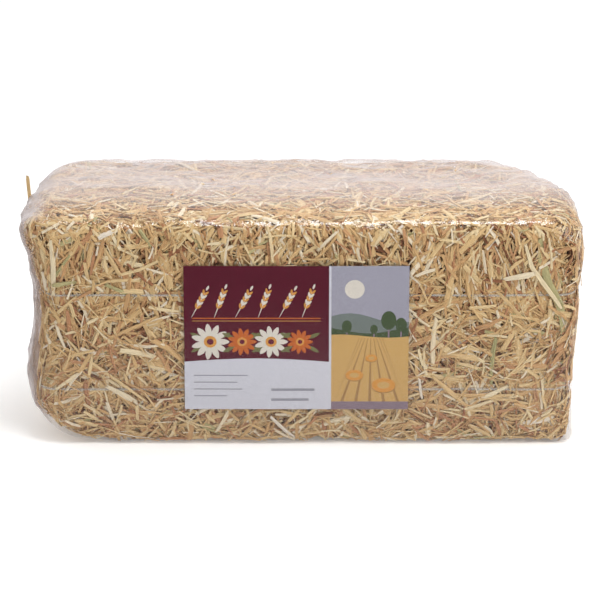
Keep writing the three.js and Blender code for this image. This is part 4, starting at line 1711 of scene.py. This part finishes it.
    def build(self, pieces: list[bpy.types.Object]) -> bpy.types.Object:
        """Shrinks the film on to the pieces.

        Args:
            pieces: The straws, stalks, bands and label that it lies on.

        Returns:
            The film.
        """
        film = self.lattice()
        places = vertex_places(film.data)
        feet, rays = self.block.rays(places)
        upper, _ = self.outer.reach(places)
        upper = np.where(np.isnan(upper), np.nanmedian(upper), upper)
        needed = self.obstacles(places, pieces)
        edges = np.empty(len(film.data.edges) * 2, np.int32)
        film.data.edges.foreach_get("vertices", edges)
        ends = edges.reshape(-1, 2)
        degree = np.bincount(ends.ravel(), minlength=len(places))
        beside = needed - self.beside_drop
        np.maximum.at(needed, ends[:, 0], beside[ends[:, 1]])
        np.maximum.at(needed, ends[:, 1], beside[ends[:, 0]])
        needed += self.clearance
        room = np.maximum(upper - needed, 0.0)
        held = np.random.default_rng(5).random(len(places)) < self.held_up
        room = np.where(held, 0.0, room)
        sag = np.zeros(len(places))
        for _ in range(self.sag_steps):
            mean = self._around(sag, ends) / degree
            sag = np.clip(sag + self.follow * (mean - sag) + self.sag, 0.0, room)
        reach = upper - sag
        for _ in range(self.even_steps):
            mean = self._around(reach, ends) / degree
            reach = np.maximum((reach + mean) / 2, np.minimum(needed, upper))
        room = np.maximum(reach - needed, 0.0)
        reach = np.minimum(reach - np.minimum(self._folds(places), room), upper + self.bulge)
        shaped = feet + rays * reach[:, None]
        shaped[:, 2] = np.maximum(shaped[:, 2], 0.0)
        film.data.vertices.foreach_set("co", shaped.astype(np.float32).ravel())
        film.data.update()
        self._tear(film)
        wall = film.modifiers.new("film_thickness", "SOLIDIFY")
        wall.thickness = self.thickness
        wall.offset = -1
        apply_modifiers(film)
        bpy.ops.object.shade_smooth()
        film.visible_shadow = False
        return dress(film, (FILM,), [ShrinkFilm().material()])

    @staticmethod
    def _around(values: Points, ends: Points) -> Points:
        """Returns, for each vertex, the sum of its neighbours' values along the edges."""
        total = np.bincount(ends[:, 0], values[ends[:, 1]], len(values))
        return total + np.bincount(ends[:, 1], values[ends[:, 0]], len(values))

    def _folds(self, places: Points) -> Points:
        """Folds the film: pleats that run out from the ends, crinkles where it is slack, and
        facets that are deepest on the ridge.

        Args:
            places: The lattice's vertices on the box.

        Returns:
            How far each vertex moves in along its ray.
        """
        low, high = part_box(BLOCK)
        left = 1 - smoothstep(places[:, 0], *(low.x + edge for edge in self.slack_left))
        right = smoothstep(places[:, 0], *(high.x + edge for edge in self.slack_right))
        slack = np.maximum(left, right)
        ridge = smoothstep(places[:, 1], *self.ridge_back)
        ridge = ridge * smoothstep(places[:, 2], *self.ridge_top)
        moved = np.zeros(len(places))
        for fold in FOLDS:
            pattern = field(places * np.array([fold.squeeze, 1.0, 1.0]), fold.grain, fold.offset)
            depth = fold.depth + fold.slack * slack + fold.ridge * ridge
            moved += np.abs(pattern) * depth
        return moved

    def _tear(self, film: bpy.types.Object) -> None:
        """Opens the film where the straw pokes through it.

        Args:
            film: The film before it has thickness.
        """
        low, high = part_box(POKING_STALK)
        across, up = self.tear_along
        tear = Vector((low.x + across * (high.x - low.x), (low.y + high.y) / 2,
                       low.z + up * (high.z - low.z)))
        with editing(film, "DESELECT"):
            bpy.ops.mesh.select_mode(type="FACE")
        for polygon in film.data.polygons:
            polygon.select = (polygon.center - tear).length < self.tear_radius
        bpy.ops.object.mode_set(mode="EDIT")
        bpy.ops.mesh.delete(type="FACE")
        bpy.ops.object.mode_set(mode="OBJECT")


@dataclass(frozen=True)
class SoftBox:
    """A square soft light.

    Attributes:
        name: Its name.
        place: Where it hangs.
        aim: What it is turned to.
        size: Its side.
        power: Its power in watts.
    """

    name: str
    place: tuple[float, float, float]
    aim: tuple[float, float, float]
    size: float
    power: float

    def hang(self) -> None:
        """Adds the light to the scene."""
        deselect_all()
        turn = (Vector(self.aim) - Vector(self.place)).to_track_quat("-Z", "Y").to_euler()
        bpy.ops.object.light_add(type="AREA", location=self.place, rotation=turn)
        light = bpy.context.object
        light.name = self.name
        light.data.size = self.size
        light.data.energy = self.power


@dataclass(frozen=True)
class Studio:
    """The camera, the white board that the bale stands on, and soft light all round.

    Attributes:
        stand_off: How far the camera is in front of the labelled face.
        height: How high the camera is over the board.
        pitch: Degrees that it looks down.
        lens: Its focal length in millimetres, on a 36 mm sensor.
        aside: How far it stands from the bale's middle along X.
        board_size: The side of the square board.
        board_place: The board's middle, a hair under the bale.
        lights: The soft boxes.
        room: Where the room's brightness turns along Y, from and to, and from what to what.
        mirrored: The same for the room that shows in glossy things.
    """

    stand_off: float = 2.75
    height: float = 1.085
    pitch: float = 18.8
    lens: float = 182.04
    aside: float = -0.0014
    board_size: float = 9.0
    board_place: tuple[float, float, float] = (0, 1.0, -0.3 * MM)
    lights: tuple[SoftBox, ...] = (
        SoftBox("overhead", (0.2, -0.4, 1.6), (0, 0, 0), 0.55, 11.5),
        SoftBox("right_front", (1.7, -1.5, 1.2), (0.1, 0, 0.1), 1.5, 12.5))
    room: tuple[float, float, float, float] = (-0.35, 0.45, 0.27, 1.4)
    mirrored: tuple[float, float, float, float] = (-0.1, 0.5, 0.08, 1.1)

    def camera(self) -> None:
        """Sets up the camera at the photograph's viewing angle."""
        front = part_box(LABEL)[0].y
        deselect_all()
        bpy.ops.object.camera_add(location=(self.aside, front - self.stand_off, self.height),
                                  rotation=(math.radians(90 - self.pitch), 0, 0))
        camera = bpy.context.object
        camera.data.lens = self.lens
        camera.data.clip_end = 50
        bpy.context.scene.camera = camera

    def board(self) -> None:
        """Lays the board under the bale."""
        deselect_all()
        bpy.ops.mesh.primitive_plane_add(size=self.board_size, location=self.board_place)
        board = bpy.context.object
        board.name = "studio_board"
        bpy.ops.object.transform_apply(location=True, rotation=True, scale=True)
        board.data.materials.append(MattWhiteBoard().material())
        board.visible_glossy = False

    def surroundings(self) -> None:
        """Gives the studio a white wall behind the bale and a dimmer room before it."""
        world = bpy.data.worlds.new("studio_room")
        bpy.context.scene.world = world
        world.use_nodes = True
        tree = world.node_tree
        tree.nodes.clear()
        places = add_node(tree, "TexCoord")
        parts = add_node(tree, "SeparateXYZ", inputs={0: places.outputs["Generated"]})
        levels = [add_node(tree, "MapRange", inputs={
            "Value": parts.outputs["Y"], "From Min": start, "From Max": end, "To Min": front,
            "To Max": back}) for start, end, front, back in (self.room, self.mirrored)]
        path = add_node(tree, "LightPath")
        strength = add_node(tree, "Mix", {"data_type": "FLOAT"}, {
            "Factor": path.outputs["Is Glossy Ray"], "A": levels[0], "B": levels[1]})
        room = add_node(tree, "Background", inputs={
            "Color": to_linear("#ffffff"), "Strength": strength})
        seen = add_node(tree, "Background", inputs={
            "Color": to_linear("#ffffff"), "Strength": 1.0})
        shown = add_node(tree, "MixShader", inputs={
            "Fac": path.outputs["Is Camera Ray"], 1: room, 2: seen})
        add_node(tree, "OutputWorld", inputs={"Surface": shown})

    def build(self) -> None:
        """Sets up the whole studio."""
        self.camera()
        self.board()
        for light in self.lights:
            light.hang()
        self.surroundings()
        bpy.context.scene.view_settings.view_transform = "Standard"


LAYERS = (
    StrawLayer(Wall.FRONT, 1.0, 11, stretch=(0.0, 0.5), part="_left"),
    StrawLayer(Wall.FRONT, 1.0, 17, stretch=(0.5, 1.0), part="_right"),
    StrawLayer(Wall.BACK, 0.78, 12),
    StrawLayer(Wall.TOP, 0.9, 13, proud=5.0 * MM, lift=0.8 * MM),
    StrawLayer(Wall.LEFT, 0.9, 14, proud=7.0 * MM, lift=2.0 * MM),
    StrawLayer(Wall.RIGHT, 0.9, 15, proud=9.0 * MM, lift=4.0 * MM),
    StrawLayer(Wall.BOTTOM, 0.4, 16, proud=0.5 * MM),
)


def main() -> None:
    """Builds the bale from the inside out, then sets up the studio."""
    logging.basicConfig(level=logging.INFO, format="%(name)s %(message)s")
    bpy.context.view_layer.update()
    block = RoundForm(BLOCK)
    straw = DriedStraw().material()
    PressedCore().build()
    laid = []
    for layer in LAYERS:
        laid.append(dress(layer.lay(block), (BLOCK,), [straw]))
    slots = {part["node"]: part["material_slot"] for part in frame["record"]["subparts"]}
    stalks = [node for node in slots if node.startswith("stalk_")]
    for seed, node in enumerate(stalks):
        stalk = LongStalk(node, slots[node], seed).build(straw)
        if node != POKING_STALK:
            laid.append(stalk)
    laid += StrapSet().build()
    laid.append(PrintedLabel().build())
    FilmWrap(block).build(laid)
    Studio().build()


if __name__ == "__main__":
    main()
